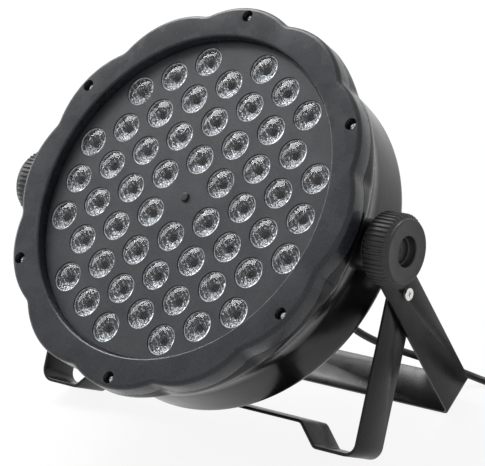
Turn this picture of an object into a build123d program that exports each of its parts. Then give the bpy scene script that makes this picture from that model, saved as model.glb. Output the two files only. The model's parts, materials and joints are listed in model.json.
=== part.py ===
from build123d import *
import math
import os

# Flat LED par can on a folding two-bracket stand, millimetres, +Z up.
# X runs along the tilt axis, the lamp looks towards -Y, and the origin is on
# the floor under the middle of the lamp.

# ---------------------------------------------------------------- attitude
TILT_BACK = 43.9            # lens face leaned back from upright, degrees
REAR_LEAN = 26.35           # main bracket leaned back from hanging, degrees
PIVOT_Y = 3.026             # tilt axis, from the middle of the lamp

# ---------------------------------------------------------------- brackets
STRIP_WIDTH = 25.0
STRIP_THICK = 1.8
ARM_GAP = 1.8               # from the bezel's lobes to the main bracket's arms
REAR_LENGTH = 127.0         # tilt axis to outer face of the cross bar
REAR_BEND = 4.0             # outer bend radius
FRONT_LENGTH = 91.6         # fold axis to outer face of the feet
FRONT_BEND = 7.0            # middle line bend radius
HINGE_DROP = 37.7           # fold axis below the tilt axis, along the arm
FOOT_LENGTH = 27.7
JOGGLE_RISE = 11.8
HINGE_SCREW_R = 2.5
HINGE_CLEAR = 0.05          # running clearance of the fold pivot
HINGE_WASHER_THICK = 0.5
HINGE_HEAD_R = 3.5
HINGE_HEAD_HEIGHT = 2.4
HINGE_NUT_R = 4.6           # over the corners
HINGE_NUT_THICK = 2.7
HANG_HOLE_R = 6.0           # hole for a hook clamp's bolt

# ---------------------------------------------------------------- lamp head
PITCH = 23.0                # distance between neighbouring lenses
LENS_RINGS = 4
LENS_R = 8.7
LENS_FLANGE = 0.6           # width of the flange behind the plate
LENS_SUNK = 0.9             # edge of a lens below the face of the plate
LENS_HOLE_CLEAR = 0.15
LENS_DOME = 1.6
LENS_MARGIN = 0.57          # from the outermost lens flange to the bezel's ledge
SCALLOPS = 12
RIM_WIDTH = 18.3            # from the plate's recess to the top of a lobe
SCALLOP_DEPTH = 4.6         # from the top of a lobe to where two lobes' arcs meet
VALLEY_FILLET = 10.0
BEZEL_FRONT = 31.5          # heights along the lamp's axis, tilt axis = 0
BEZEL_BACK = 20.0
BEZEL_OUTER_ROUND = 2.5
BEZEL_INNER_ROUND = 1.2
LEDGE_THICK = 2.6
LEDGE_WIDTH = 2.7
PLATE_THICK = 3.0
PLATE_CLEAR = 0.3
BEZEL_SCREW_INSET = 5.6     # from the top of a lobe
BEZEL_SCREWS = 6
BEZEL_SCREW_R = 1.5
BEZEL_SCREW_HEAD_R = 2.6
BEZEL_SCREW_HEAD_HEIGHT = 1.8
BEZEL_SCREW_RECESS_R = 3.4
BEZEL_SCREW_SEAT = 26.4
BEZEL_SCREW_LENGTH = 12.0

# ---------------------------------------------------------------- housing
SCOOP_DEPTH = 9.5          # from the top of a lobe in to the round wall
REAR_TAPER = 1.4            # the round wall narrows by this towards its rear rim
REAR_FACE = -38.5
REAR_WALL = 3.0
SIDE_WALL = 3.0
REAR_RIM_ROUND = 7.0
SHOULDER = -6.0             # where the scoops run out into the round wall
SHELF_TOP = 2.4             # shelf that carries the heat spreader
SHELF_THICK = 5.0
SHELF_WIDTH = 6.0           # under the edge of the heat spreader
BOSS_R = 14.0
BOSS_GAP = 1.0              # room for the friction washer
INSERT_R = 6.0
INSERT_LENGTH = 12.0

# ---------------------------------------------------------------- electronics
SPREADER_GAP = 9.3          # from the heat spreader to the side wall
SPREADER_THICK = 4.0
BOARD_INSET = 6.5           # edge of the lens board in from the heat spreader's
BOARD_THICK = 1.6
SPREADER_SCREW_INSET = 3.0
SPREADER_SCREWS = 6
EMITTER_SIZE = 3.5
FIN_COUNT = 9
FIN_THICK = 1.5
FIN_HEIGHT = 15.0
FIN_BLOCK = 56.0
FIN_BASE = 3.0
FAN_SIZE = 60.0
FAN_DEPTH = 15.0
FAN_CENTRE = 18.0           # above the lamp's axis
FAN_BORE_R = 28.2
FAN_HUB_R = 13.0
FAN_BLADES = 7
FAN_SHAFT_R = 1.5
FAN_SHAFT_CLEAR = 0.05
FAN_HOLE_PITCH = 50.0
PCB = 1.6

# ---------------------------------------------------------------- knobs
KNOB_R = 19.8
KNOB_LENGTH = 15.9
KNOB_SHOULDER = 2.4         # from the ribs in to the smooth disc
KNOB_DISC_THICK = 1.8
KNOB_POCKET_R = 8.3
KNOB_POCKET_DEPTH = 5.0
KNOB_RIBS = 44
KNOB_RIB_DEPTH = 1.0
KNOB_GROOVE_WIDTH = 1.6
KNOB_WASHER_THICK = 0.5
KNOB_WASHER_R = 10.5
STUD_R = 4.0
STUD_CLEAR = 0.05
STUD_LENGTH = 22.5
STUD_IN_KNOB = 8.0

# ---------------------------------------------------------------- rear panel
BUTTONS = ("mode", "down", "up", "set")
BUTTON_SPACING = 14.0
BUTTON_ROW = -64.0
BUTTON_R = 3.5
BUTTON_GAP = 0.3
BUTTON_PROUD = 2.4
BUTTON_TRAVEL = 0.6
SOCKET_X = -60.0
SOCKET_ROWS = {"dmx_in_socket": 24.0, "dmx_out_socket": -16.0}
SOCKET_BARREL_R = 11.8
FUSE_AT = (36.0, -32.0)
GLAND_AT = (60.0, -26.0)
MICROPHONE_AT = (24.0, -44.0)

# ---------------------------------------------------------------- cord
CORD_R = 2.1
RELIEF_TIP = -60.0          # far end of the strain relief, along the axis
RELIEF_GAP = 0.95           # room for the relief's tip when the lamp is lowered
COIL_X = 150.0
COIL_BEHIND = 54.9          # middle of the coil behind the main bracket's bar
COIL_OUT_R = 31.4
COIL_IN_R = 14.4
COIL_HEIGHT = 8.5
LAYER_LOW = CORD_R          # middle of the lead where it lies on the floor
LAYER_HIGH = 3 * CORD_R     # and where it lies on another turn


# ---------------------------------------------------------------- the frame
def sine(angle):
    return math.sin(math.radians(angle))


def cosine(angle):
    return math.cos(math.radians(angle))


PIVOT_Z = REAR_LENGTH * cosine(REAR_LEAN) + STRIP_WIDTH / 2 * sine(REAR_LEAN)
HEAD = Plane(
    origin=(0, PIVOT_Y, PIVOT_Z),
    x_dir=(1, 0, 0),
    z_dir=(0, -cosine(TILT_BACK), sine(TILT_BACK)),
)
SECTION = Plane(origin=HEAD.origin, x_dir=(1, 0, 0), z_dir=-HEAD.y_dir)
HEAD_AXIS = Axis(HEAD.origin, HEAD.z_dir)
LENS_FLANGE_R = LENS_R + LENS_FLANGE
LENS_FIELD_R = PITCH * math.sqrt(LENS_RINGS**2 - LENS_RINGS + 1)
LEDGE_R = LENS_FIELD_R + LENS_FLANGE_R + LENS_MARGIN
RECESS_R = LEDGE_R + LEDGE_WIDTH
LOBE_R = RECESS_R + RIM_WIDTH
VALLEY_R = LOBE_R - SCALLOP_DEPTH
BEZEL_SCREW_CIRCLE = LOBE_R - BEZEL_SCREW_INSET
HOUSING_R = LOBE_R - SCOOP_DEPTH
REAR_RIM_R = HOUSING_R - REAR_TAPER
SPREADER_R = HOUSING_R - SIDE_WALL - SPREADER_GAP
SHELF_R = SPREADER_R - SHELF_WIDTH
BOARD_R = SPREADER_R - BOARD_INSET
SPREADER_SCREW_CIRCLE = SPREADER_R - SPREADER_SCREW_INSET
PLATE_FRONT = BEZEL_BACK + LEDGE_THICK + PLATE_THICK
PLATE_BACK = BEZEL_BACK + LEDGE_THICK
SPREADER_FRONT = SHELF_TOP + SPREADER_THICK
BOARD_FRONT = SPREADER_FRONT + BOARD_THICK
WALL_IN = REAR_FACE + REAR_WALL
LENS_EDGE = PLATE_FRONT - LENS_SUNK
ARM_IN = LOBE_R + ARM_GAP
ARM_OUT = ARM_IN + STRIP_THICK
FRONT_ARM_OUT = ARM_IN - HINGE_WASHER_THICK
FRONT_ARM_IN = FRONT_ARM_OUT - STRIP_THICK
BOSS_END = ARM_IN - BOSS_GAP
KNOB_BACK = ARM_OUT + KNOB_WASHER_THICK
KNOB_FACE = KNOB_BACK + KNOB_LENGTH

BAR_Y = PIVOT_Y + REAR_LENGTH * sine(REAR_LEAN)
HINGE_Y = PIVOT_Y + HINGE_DROP * sine(REAR_LEAN)
HINGE_Z = PIVOT_Z - HINGE_DROP * cosine(REAR_LEAN)
# The front bracket leans forward until the edges of its feet reach the floor.
FRONT_LEAN = math.degrees(
    math.atan2(STRIP_WIDTH / 2, FRONT_LENGTH)
    + math.acos(HINGE_Z / math.hypot(FRONT_LENGTH, STRIP_WIDTH / 2))
)
REAR_STRIP = Plane(
    origin=(0, PIVOT_Y, PIVOT_Z),
    x_dir=(1, 0, 0),
    z_dir=(0, -cosine(REAR_LEAN), -sine(REAR_LEAN)),
)
FRONT_STRIP = Plane(
    origin=(0, HINGE_Y, HINGE_Z),
    x_dir=(1, 0, 0),
    z_dir=(0, -cosine(FRONT_LEAN), sine(FRONT_LEAN)),
)


def across(side, distance, y=PIVOT_Y, z=PIVOT_Z):
    """Plane square to X that looks outwards on one side of the lamp."""
    return Plane(origin=(side * distance, y, z), x_dir=(0, side, 0), z_dir=(side, 0, 0))


def head_point(u, v, w):
    """A point given across, up and out of the lens face, in the row's frame."""
    return HEAD.from_local_coords(Vector(u, v, w))


def scallop_outline():
    """The twelve-lobed edge of the bezel, as arcs that meet in rounded valleys."""
    step = 360 / SCALLOPS
    with BuildLine() as edge:
        for lobe in range(SCALLOPS):
            middle = lobe * step
            start = (VALLEY_R * cosine(middle - step / 2), VALLEY_R * sine(middle - step / 2))
            top = (LOBE_R * cosine(middle), LOBE_R * sine(middle))
            end = (VALLEY_R * cosine(middle + step / 2), VALLEY_R * sine(middle + step / 2))
            ThreePointArc(start, top, end)
    return edge.line


SCALLOP_EDGE = scallop_outline()


def lens_places():
    """Hexagonal lattice of lenses without its middle and its six corners."""
    places = []
    for q in range(-LENS_RINGS, LENS_RINGS + 1):
        for r in range(-LENS_RINGS, LENS_RINGS + 1):
            ring = max(abs(q), abs(r), abs(q + r))
            corner = ring == LENS_RINGS and 0 in (q, r, q + r)
            if ring == 0 or ring > LENS_RINGS or corner:
                continue
            u = PITCH * q * cosine(30)
            v = PITCH * (r + q / 2)
            places.append((u, v))
    return places


LENSES = lens_places()
SCREW_ANGLES = [30 + 60 * k for k in range(BEZEL_SCREWS)]

os.makedirs("parts", exist_ok=True)


def save(part, name):
    part.label = name
    export_step(part, f"parts/{name}.step")


# ---------------------------------------------------------------- front bezel
with BuildPart() as front_bezel:
    with BuildSketch(HEAD.offset(BEZEL_BACK)) as bezel_face:
        with BuildLine():
            add(SCALLOP_EDGE)
        make_face()
        fillet(bezel_face.vertices(), radius=VALLEY_FILLET)
    extrude(amount=BEZEL_FRONT - BEZEL_BACK)
    with BuildSketch(HEAD.offset(BEZEL_FRONT)):
        Circle(RECESS_R)
    extrude(amount=-(BEZEL_FRONT - PLATE_BACK), mode=Mode.SUBTRACT)
    with BuildSketch(HEAD.offset(BEZEL_BACK)):
        Circle(LEDGE_R)
    extrude(amount=LEDGE_THICK, mode=Mode.SUBTRACT)
    front_face = front_bezel.faces().sort_by(HEAD_AXIS)[-1]
    fillet(front_face.outer_wire().edges(), radius=BEZEL_OUTER_ROUND)
    front_face = front_bezel.faces().sort_by(HEAD_AXIS)[-1]
    fillet(front_face.inner_wires()[0].edges(), radius=BEZEL_INNER_ROUND)
    with BuildSketch(HEAD.offset(BEZEL_FRONT)):
        with PolarLocations(BEZEL_SCREW_CIRCLE, BEZEL_SCREWS, start_angle=30):
            Circle(BEZEL_SCREW_RECESS_R)
    extrude(amount=BEZEL_SCREW_SEAT - BEZEL_FRONT, mode=Mode.SUBTRACT)
    with BuildSketch(HEAD.offset(BEZEL_SCREW_SEAT)):
        with PolarLocations(BEZEL_SCREW_CIRCLE, BEZEL_SCREWS, start_angle=30):
            Circle(BEZEL_SCREW_R + 0.2)
    extrude(amount=BEZEL_BACK - BEZEL_SCREW_SEAT, mode=Mode.SUBTRACT)
save(front_bezel.part, "front_bezel")

# ---------------------------------------------------------------- bezel screws
with BuildPart() as bezel_screws:
    with BuildSketch(HEAD.offset(BEZEL_SCREW_SEAT)):
        with PolarLocations(BEZEL_SCREW_CIRCLE, BEZEL_SCREWS, start_angle=30):
            Circle(BEZEL_SCREW_HEAD_R)
    extrude(amount=BEZEL_SCREW_HEAD_HEIGHT)
    fillet(
        bezel_screws.edges().filter_by(GeomType.CIRCLE).group_by(HEAD_AXIS)[-1],
        radius=1.0,
    )
    with BuildSketch(HEAD.offset(BEZEL_SCREW_SEAT + BEZEL_SCREW_HEAD_HEIGHT)):
        with PolarLocations(BEZEL_SCREW_CIRCLE, BEZEL_SCREWS, start_angle=30):
            Rectangle(3.0, 0.6)
            Rectangle(0.6, 3.0)
    extrude(amount=-1.2, mode=Mode.SUBTRACT)
    with BuildSketch(HEAD.offset(BEZEL_SCREW_SEAT)):
        with PolarLocations(BEZEL_SCREW_CIRCLE, BEZEL_SCREWS, start_angle=30):
            Circle(BEZEL_SCREW_R)
    extrude(amount=-BEZEL_SCREW_LENGTH)
save(bezel_screws.part, "bezel_screws")

# ---------------------------------------------------------------- lens plate
with BuildPart() as lens_plate:
    with BuildSketch(HEAD.offset(PLATE_BACK)):
        Circle(RECESS_R - PLATE_CLEAR)
    extrude(amount=PLATE_THICK)
    with BuildSketch(HEAD.offset(PLATE_BACK)):
        with Locations(*LENSES):
            Circle(LENS_R + LENS_HOLE_CLEAR)
    extrude(amount=PLATE_THICK, mode=Mode.SUBTRACT)
    with BuildSketch(HEAD.offset(PLATE_BACK)):
        Circle(1.5)
    extrude(amount=PLATE_THICK, mode=Mode.SUBTRACT)
    with BuildSketch(HEAD.offset(PLATE_FRONT)):
        Circle(RECESS_R - PLATE_CLEAR)
        Circle(RECESS_R - PLATE_CLEAR - 1.4, mode=Mode.SUBTRACT)
    extrude(amount=-0.8, mode=Mode.SUBTRACT)
save(lens_plate.part, "lens_plate")

# ---------------------------------------------------------------- plate screw
with BuildPart() as plate_screw:
    with BuildSketch(HEAD.offset(PLATE_FRONT)):
        Circle(2.6)
    extrude(amount=1.2)
    fillet(plate_screw.edges().filter_by(GeomType.CIRCLE).sort_by(HEAD_AXIS)[-1], radius=0.7)
    with BuildSketch(HEAD.offset(PLATE_FRONT)):
        Circle(1.25)
    extrude(amount=-(PLATE_FRONT - SHELF_TOP - 1.0))
save(plate_screw.part, "plate_screw")

# ---------------------------------------------------------------- lenses
with BuildPart(mode=Mode.PRIVATE) as one_lens:
    with BuildSketch(SECTION):
        with BuildLine():
            Polyline(
                (0, BOARD_FRONT + 2.6),
                (2.4, BOARD_FRONT + 2.6),
                (2.4, BOARD_FRONT),
                (4.6, BOARD_FRONT),
                (LENS_FLANGE_R, PLATE_BACK - 2.5),
                (LENS_FLANGE_R, PLATE_BACK),
                (LENS_R, PLATE_BACK),
                (LENS_R, LENS_EDGE),
            )
            RadiusArc(
                (LENS_R, LENS_EDGE),
                (0, LENS_EDGE + LENS_DOME),
                -(LENS_R**2 + LENS_DOME**2) / (2 * LENS_DOME),
            )
            Line((0, LENS_EDGE + LENS_DOME), (0, BOARD_FRONT + 2.6))
        make_face()
    revolve(axis=HEAD_AXIS, revolution_arc=360)

lens_solids = []
for u, v in LENSES:
    shift = HEAD.x_dir * u + HEAD.y_dir * v
    lens_solids.append(one_lens.part.moved(Location(shift)).solid())
lenses = Compound(label="lenses", children=lens_solids)
export_step(lenses, "parts/lenses.step")

# ---------------------------------------------------------------- led emitters
with BuildPart() as led_emitters:
    with BuildSketch(HEAD.offset(BOARD_FRONT)):
        with Locations(*LENSES):
            Rectangle(EMITTER_SIZE * 0.9, EMITTER_SIZE * 0.9)
    extrude(amount=0.8)
    with BuildSketch(HEAD.offset(BOARD_FRONT + 0.8)):
        with Locations(*LENSES):
            Circle(1.3)
    extrude(amount=0.9)
save(led_emitters.part, "led_emitters")

# ---------------------------------------------------------------- led board
with BuildPart() as led_board:
    with BuildSketch(HEAD.offset(SPREADER_FRONT)):
        Circle(BOARD_R)
        Circle(1.5, mode=Mode.SUBTRACT)
    extrude(amount=BOARD_THICK)
save(led_board.part, "led_board")

# ---------------------------------------------------------------- heat spreader
with BuildPart() as heat_spreader:
    with BuildSketch(HEAD.offset(SHELF_TOP)):
        Circle(SPREADER_R)
        Circle(1.3, mode=Mode.SUBTRACT)
        with PolarLocations(SPREADER_SCREW_CIRCLE, SPREADER_SCREWS):
            Circle(1.7, mode=Mode.SUBTRACT)
    extrude(amount=SPREADER_THICK)
save(heat_spreader.part, "heat_spreader")

with BuildPart() as spreader_screws:
    with BuildSketch(HEAD.offset(SPREADER_FRONT)):
        with PolarLocations(SPREADER_SCREW_CIRCLE, SPREADER_SCREWS):
            Circle(2.8)
    extrude(amount=2.0)
    with BuildSketch(HEAD.offset(SPREADER_FRONT)):
        with PolarLocations(SPREADER_SCREW_CIRCLE, SPREADER_SCREWS):
            Circle(1.5)
    extrude(amount=-(SPREADER_THICK + SHELF_THICK - 1.0))
save(spreader_screws.part, "spreader_screws")

# ---------------------------------------------------------------- heat sink
with BuildPart() as heat_sink:
    with BuildSketch(HEAD.offset(SHELF_TOP)):
        with Locations((0, FAN_CENTRE)):
            Rectangle(FIN_BLOCK, FIN_BLOCK)
    extrude(amount=-FIN_BASE)
    with BuildSketch(HEAD.offset(SHELF_TOP - FIN_BASE)):
        with Locations((0, FAN_CENTRE)):
            with GridLocations((FIN_BLOCK - FIN_THICK) / (FIN_COUNT - 1), 0, FIN_COUNT, 1):
                Rectangle(FIN_THICK, FIN_BLOCK)
    extrude(amount=-FIN_HEIGHT)
save(heat_sink.part, "heat_sink")

# ---------------------------------------------------------------- rear housing
with BuildPart() as rear_housing:
    with BuildSketch(HEAD.offset(BEZEL_BACK)) as flange_face:
        with BuildLine():
            add(SCALLOP_EDGE)
        make_face()
        fillet(flange_face.vertices(), radius=VALLEY_FILLET)
    extrude(amount=REAR_FACE - BEZEL_BACK)
    with BuildSketch(SECTION):
        with BuildLine():
            Line((0, BEZEL_BACK), (LOBE_R, BEZEL_BACK))
            Line((LOBE_R, BEZEL_BACK), (LOBE_R, BEZEL_BACK - 4.0))
            ThreePointArc(
                (LOBE_R, BEZEL_BACK - 4.0),
                (HOUSING_R + 4.2, 3.0),
                (HOUSING_R, SHOULDER),
            )
            Line((HOUSING_R, SHOULDER), (REAR_RIM_R, REAR_FACE + REAR_RIM_ROUND))
            ThreePointArc(
                (REAR_RIM_R, REAR_FACE + REAR_RIM_ROUND),
                (
                    REAR_RIM_R - REAR_RIM_ROUND * (1 - cosine(45)),
                    REAR_FACE + REAR_RIM_ROUND * (1 - cosine(45)),
                ),
                (REAR_RIM_R - REAR_RIM_ROUND, REAR_FACE),
            )
            Line((REAR_RIM_R - REAR_RIM_ROUND, REAR_FACE), (0, REAR_FACE))
            Line((0, REAR_FACE), (0, BEZEL_BACK))
        make_face()
    revolve(axis=HEAD_AXIS, revolution_arc=360, mode=Mode.INTERSECT)
    for side in (1, -1):
        with BuildSketch(across(side, BOSS_END)):
            Circle(BOSS_R)
        extrude(amount=-(BOSS_END - HOUSING_R + 6.0))
    with BuildSketch(SECTION):
        with BuildLine():
            Polyline(
                (0, BEZEL_BACK),
                (HOUSING_R - SIDE_WALL + 1.0, BEZEL_BACK),
                (HOUSING_R - SIDE_WALL, SHELF_TOP),
                (SHELF_R, SHELF_TOP),
                (SHELF_R, SHELF_TOP - SHELF_THICK),
                (REAR_RIM_R - SIDE_WALL, SHELF_TOP - SHELF_THICK),
                (REAR_RIM_R - SIDE_WALL, WALL_IN + 3.0),
                (REAR_RIM_R - SIDE_WALL - 3.0, WALL_IN),
                (0, WALL_IN),
                close=True,
            )
        make_face()
    revolve(axis=HEAD_AXIS, revolution_arc=360, mode=Mode.SUBTRACT)
    for side in (1, -1):
        with BuildSketch(across(side, BOSS_END)):
            Circle(INSERT_R)
        extrude(amount=-INSERT_LENGTH, mode=Mode.SUBTRACT)
    with BuildSketch(HEAD.offset(BEZEL_BACK)):
        with PolarLocations(BEZEL_SCREW_CIRCLE, BEZEL_SCREWS, start_angle=30):
            Circle(BEZEL_SCREW_R + 0.1)
    extrude(amount=-(BEZEL_SCREW_LENGTH - BEZEL_SCREW_SEAT + BEZEL_BACK + 0.5), mode=Mode.SUBTRACT)
    with BuildSketch(HEAD.offset(SHELF_TOP)):
        with PolarLocations(SPREADER_SCREW_CIRCLE, SPREADER_SCREWS):
            Circle(1.6)
    extrude(amount=-SHELF_THICK, mode=Mode.SUBTRACT)
    # Openings of the rear panel: vent, display, buttons, sockets, fuse, gland.
    with BuildSketch(HEAD.offset(REAR_FACE)):
        with Locations((0, FAN_CENTRE)):
            for ring, count in ((8.0, 6), (15.5, 12), (23.0, 18)):
                with PolarLocations(ring, count):
                    Circle(2.2)
            with GridLocations(FAN_HOLE_PITCH, FAN_HOLE_PITCH, 2, 2):
                Circle(1.7)
        with Locations((0, -42.0)):
            Rectangle(32.0, 16.0)
        with Locations((0, BUTTON_ROW)):
            with GridLocations(BUTTON_SPACING, 0, len(BUTTONS), 1):
                Circle(BUTTON_R + BUTTON_GAP)
        for row in SOCKET_ROWS.values():
            with Locations((SOCKET_X, row)):
                Circle(SOCKET_BARREL_R + 0.2)
                with Locations((9.5, 12.0), (-9.5, -12.0)):
                    Circle(1.4)
        with Locations(FUSE_AT):
            Circle(6.2)
        with Locations(GLAND_AT):
            Circle(6.2)
        with Locations(MICROPHONE_AT):
            Circle(1.0)
    extrude(amount=REAR_WALL, mode=Mode.SUBTRACT)
    # Cast posts that carry the control board.
    with BuildSketch(HEAD.offset(WALL_IN)):
        with Locations((0, -55.0)):
            with GridLocations(54.0, 34.0, 2, 2):
                Circle(2.5)
    extrude(amount=10.0)
save(rear_housing.part, "rear_housing")

# ---------------------------------------------------------------- pivot inserts
with BuildPart() as pivot_inserts:
    for side in (1, -1):
        with BuildSketch(across(side, BOSS_END)):
            Circle(INSERT_R)
            Circle(STUD_R + STUD_CLEAR, mode=Mode.SUBTRACT)
        extrude(amount=-INSERT_LENGTH)
save(pivot_inserts.part, "pivot_inserts")

# ---------------------------------------------------------------- friction washers
with BuildPart() as friction_washers:
    for side in (1, -1):
        with BuildSketch(across(side, BOSS_END)):
            Circle(BOSS_R - 1.5)
            Circle(STUD_R + 0.5, mode=Mode.SUBTRACT)
        extrude(amount=BOSS_GAP)
save(friction_washers.part, "friction_washers")

# ---------------------------------------------------------------- main bracket
with BuildPart() as rear_bracket:
    rear_middle = ARM_OUT - STRIP_THICK / 2
    bar_middle = -REAR_LENGTH + STRIP_THICK / 2
    with BuildSketch(REAR_STRIP):
        with BuildLine():
            FilletPolyline(
                (-rear_middle, 0),
                (-rear_middle, bar_middle),
                (rear_middle, bar_middle),
                (rear_middle, 0),
                radius=REAR_BEND - STRIP_THICK / 2,
            )
        trace(line_width=STRIP_THICK)
    extrude(amount=STRIP_WIDTH / 2, both=True)
    for side in (1, -1):
        with BuildSketch(across(side, ARM_OUT)):
            Circle(STRIP_WIDTH / 2)
        extrude(amount=-STRIP_THICK)
        with BuildSketch(across(side, ARM_OUT)):
            Circle(STUD_R + 0.3)
        extrude(amount=-STRIP_THICK, mode=Mode.SUBTRACT)
        with BuildSketch(across(side, ARM_OUT, HINGE_Y, HINGE_Z)):
            Circle(HINGE_SCREW_R + HINGE_CLEAR)
        extrude(amount=-STRIP_THICK, mode=Mode.SUBTRACT)
    with BuildSketch(Plane(
        origin=REAR_STRIP.from_local_coords(Vector(0, -REAR_LENGTH, 0)),
        x_dir=(1, 0, 0),
        z_dir=REAR_STRIP.y_dir,
    )):
        Circle(HANG_HOLE_R)
    extrude(amount=STRIP_THICK, mode=Mode.SUBTRACT)
save(rear_bracket.part, "rear_bracket")

# ---------------------------------------------------------------- front bracket
with BuildPart() as front_bracket:
    middle_x = FRONT_ARM_OUT - STRIP_THICK / 2
    sole = -FRONT_LENGTH + STRIP_THICK / 2
    foot_end = FRONT_ARM_OUT - FOOT_LENGTH
    with BuildSketch(FRONT_STRIP):
        with BuildLine():
            FilletPolyline(
                (middle_x, 0),
                (middle_x, sole),
                (foot_end, sole),
                (foot_end - JOGGLE_RISE, sole + JOGGLE_RISE),
                (-foot_end + JOGGLE_RISE, sole + JOGGLE_RISE),
                (-foot_end, sole),
                (-middle_x, sole),
                (-middle_x, 0),
                radius=[FRONT_BEND, 4.0, 4.0, 4.0, 4.0, FRONT_BEND],
            )
        trace(line_width=STRIP_THICK)
    extrude(amount=STRIP_WIDTH / 2, both=True)
    for side in (1, -1):
        with BuildSketch(across(side, FRONT_ARM_OUT, HINGE_Y, HINGE_Z)):
            Circle(STRIP_WIDTH / 2)
        extrude(amount=-STRIP_THICK)
        with BuildSketch(across(side, FRONT_ARM_OUT, HINGE_Y, HINGE_Z)):
            Circle(HINGE_SCREW_R + HINGE_CLEAR)
        extrude(amount=-STRIP_THICK, mode=Mode.SUBTRACT)
save(front_bracket.part, "front_bracket")

# ---------------------------------------------------------------- fold hinge
with BuildPart() as hinge_screws:
    for side in (1, -1):
        with BuildSketch(across(side, ARM_OUT, HINGE_Y, HINGE_Z)):
            Circle(HINGE_HEAD_R)
        extrude(amount=HINGE_HEAD_HEIGHT)
        with BuildSketch(across(side, ARM_OUT + HINGE_HEAD_HEIGHT, HINGE_Y, HINGE_Z)):
            Rectangle(HINGE_HEAD_R, 0.8)
            Rectangle(0.8, HINGE_HEAD_R)
        extrude(amount=-1.4, mode=Mode.SUBTRACT)
        with BuildSketch(across(side, ARM_OUT, HINGE_Y, HINGE_Z)):
            Circle(HINGE_SCREW_R)
        extrude(amount=-(ARM_OUT - FRONT_ARM_IN + HINGE_NUT_THICK + 0.5))
save(hinge_screws.part, "hinge_screws")

with BuildPart() as hinge_nuts:
    for side in (1, -1):
        with BuildSketch(across(side, FRONT_ARM_IN, HINGE_Y, HINGE_Z)):
            RegularPolygon(radius=HINGE_NUT_R, side_count=6)
            Circle(HINGE_SCREW_R + 0.02, mode=Mode.SUBTRACT)
        extrude(amount=-HINGE_NUT_THICK)
save(hinge_nuts.part, "hinge_nuts")

with BuildPart() as hinge_washers:
    for side in (1, -1):
        with BuildSketch(across(side, ARM_IN, HINGE_Y, HINGE_Z)):
            Circle(7.0)
            Circle(HINGE_SCREW_R + 0.3, mode=Mode.SUBTRACT)
        extrude(amount=-HINGE_WASHER_THICK)
save(hinge_washers.part, "hinge_washers")

# ---------------------------------------------------------------- clamp knobs
for side, name in ((1, "right"), (-1, "left")):
    with BuildPart() as knob:
        with BuildSketch(across(side, KNOB_BACK)):
            Circle(KNOB_R)
            with PolarLocations(KNOB_R, KNOB_RIBS):
                Rectangle(2 * KNOB_RIB_DEPTH, KNOB_GROOVE_WIDTH, mode=Mode.SUBTRACT)
        extrude(amount=KNOB_LENGTH - KNOB_DISC_THICK)
        with BuildSketch(across(side, KNOB_FACE - KNOB_DISC_THICK)):
            Circle(KNOB_R - KNOB_SHOULDER)
        extrude(amount=KNOB_DISC_THICK)
        with BuildSketch(across(side, KNOB_FACE)):
            Circle(KNOB_POCKET_R)
        extrude(amount=-KNOB_POCKET_DEPTH, mode=Mode.SUBTRACT)
        with BuildSketch(across(side, KNOB_BACK)):
            Circle(STUD_R)
        extrude(amount=STUD_IN_KNOB, mode=Mode.SUBTRACT)
    save(knob.part, f"knob_{name}")

    with BuildPart() as knob_stud:
        with BuildSketch(across(side, KNOB_BACK + STUD_IN_KNOB)):
            Circle(STUD_R)
        extrude(amount=-STUD_LENGTH)
    save(knob_stud.part, f"knob_stud_{name}")

    with BuildPart() as knob_washer:
        with BuildSketch(across(side, ARM_OUT)):
            Circle(KNOB_WASHER_R)
            Circle(STUD_R + STUD_CLEAR, mode=Mode.SUBTRACT)
        extrude(amount=KNOB_WASHER_THICK)
    save(knob_washer.part, f"knob_washer_{name}")

# ---------------------------------------------------------------- rear panel pieces
PANEL_BOARD = WALL_IN + 10.0        # rear face of the control board
SWITCH_HEIGHT = 4.3
SWITCH_FACE = PANEL_BOARD - SWITCH_HEIGHT
BUTTON_XS = [BUTTON_SPACING * (k - (len(BUTTONS) - 1) / 2) for k in range(len(BUTTONS))]

with BuildPart() as control_board:
    with BuildSketch(HEAD.offset(PANEL_BOARD)):
        with Locations((0, -55.0)):
            RectangleRounded(62.0, 42.0, 2.0)
    extrude(amount=PCB)
save(control_board.part, "control_board")

with BuildPart() as tact_switches:
    with BuildSketch(HEAD.offset(PANEL_BOARD)):
        with Locations((0, BUTTON_ROW)):
            with GridLocations(BUTTON_SPACING, 0, len(BUTTONS), 1):
                Rectangle(6.0, 6.0)
    extrude(amount=-(SWITCH_HEIGHT - 0.8))
    with BuildSketch(HEAD.offset(PANEL_BOARD - SWITCH_HEIGHT + 0.8)):
        with Locations((0, BUTTON_ROW)):
            with GridLocations(BUTTON_SPACING, 0, len(BUTTONS), 1):
                Circle(1.7)
    extrude(amount=-0.8)
save(tact_switches.part, "tact_switches")

for name, u in zip(BUTTONS, BUTTON_XS):
    with BuildPart() as button:
        with BuildSketch(HEAD.offset(REAR_FACE - BUTTON_PROUD)):
            with Locations((u, BUTTON_ROW)):
                Circle(BUTTON_R)
        extrude(amount=BUTTON_PROUD + REAR_WALL + 0.3)
        with BuildSketch(HEAD.offset(WALL_IN + 0.3)):
            with Locations((u, BUTTON_ROW)):
                Circle(BUTTON_R + 1.2)
        extrude(amount=1.0)
        with BuildSketch(HEAD.offset(WALL_IN + 1.3)):
            with Locations((u, BUTTON_ROW)):
                Circle(1.8)
        extrude(amount=SWITCH_FACE - WALL_IN - 1.3 - BUTTON_TRAVEL - 0.2)
        fillet(
            button.edges().filter_by(GeomType.CIRCLE).sort_by(HEAD_AXIS)[0],
            radius=0.6,
        )
    save(button.part, f"button_{name}")

with BuildPart() as display_module:
    with BuildSketch(HEAD.offset(PANEL_BOARD)):
        with Locations((0, -42.0)):
            Rectangle(30.0, 14.0)
    extrude(amount=-8.4)
save(display_module.part, "display_module")

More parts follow.
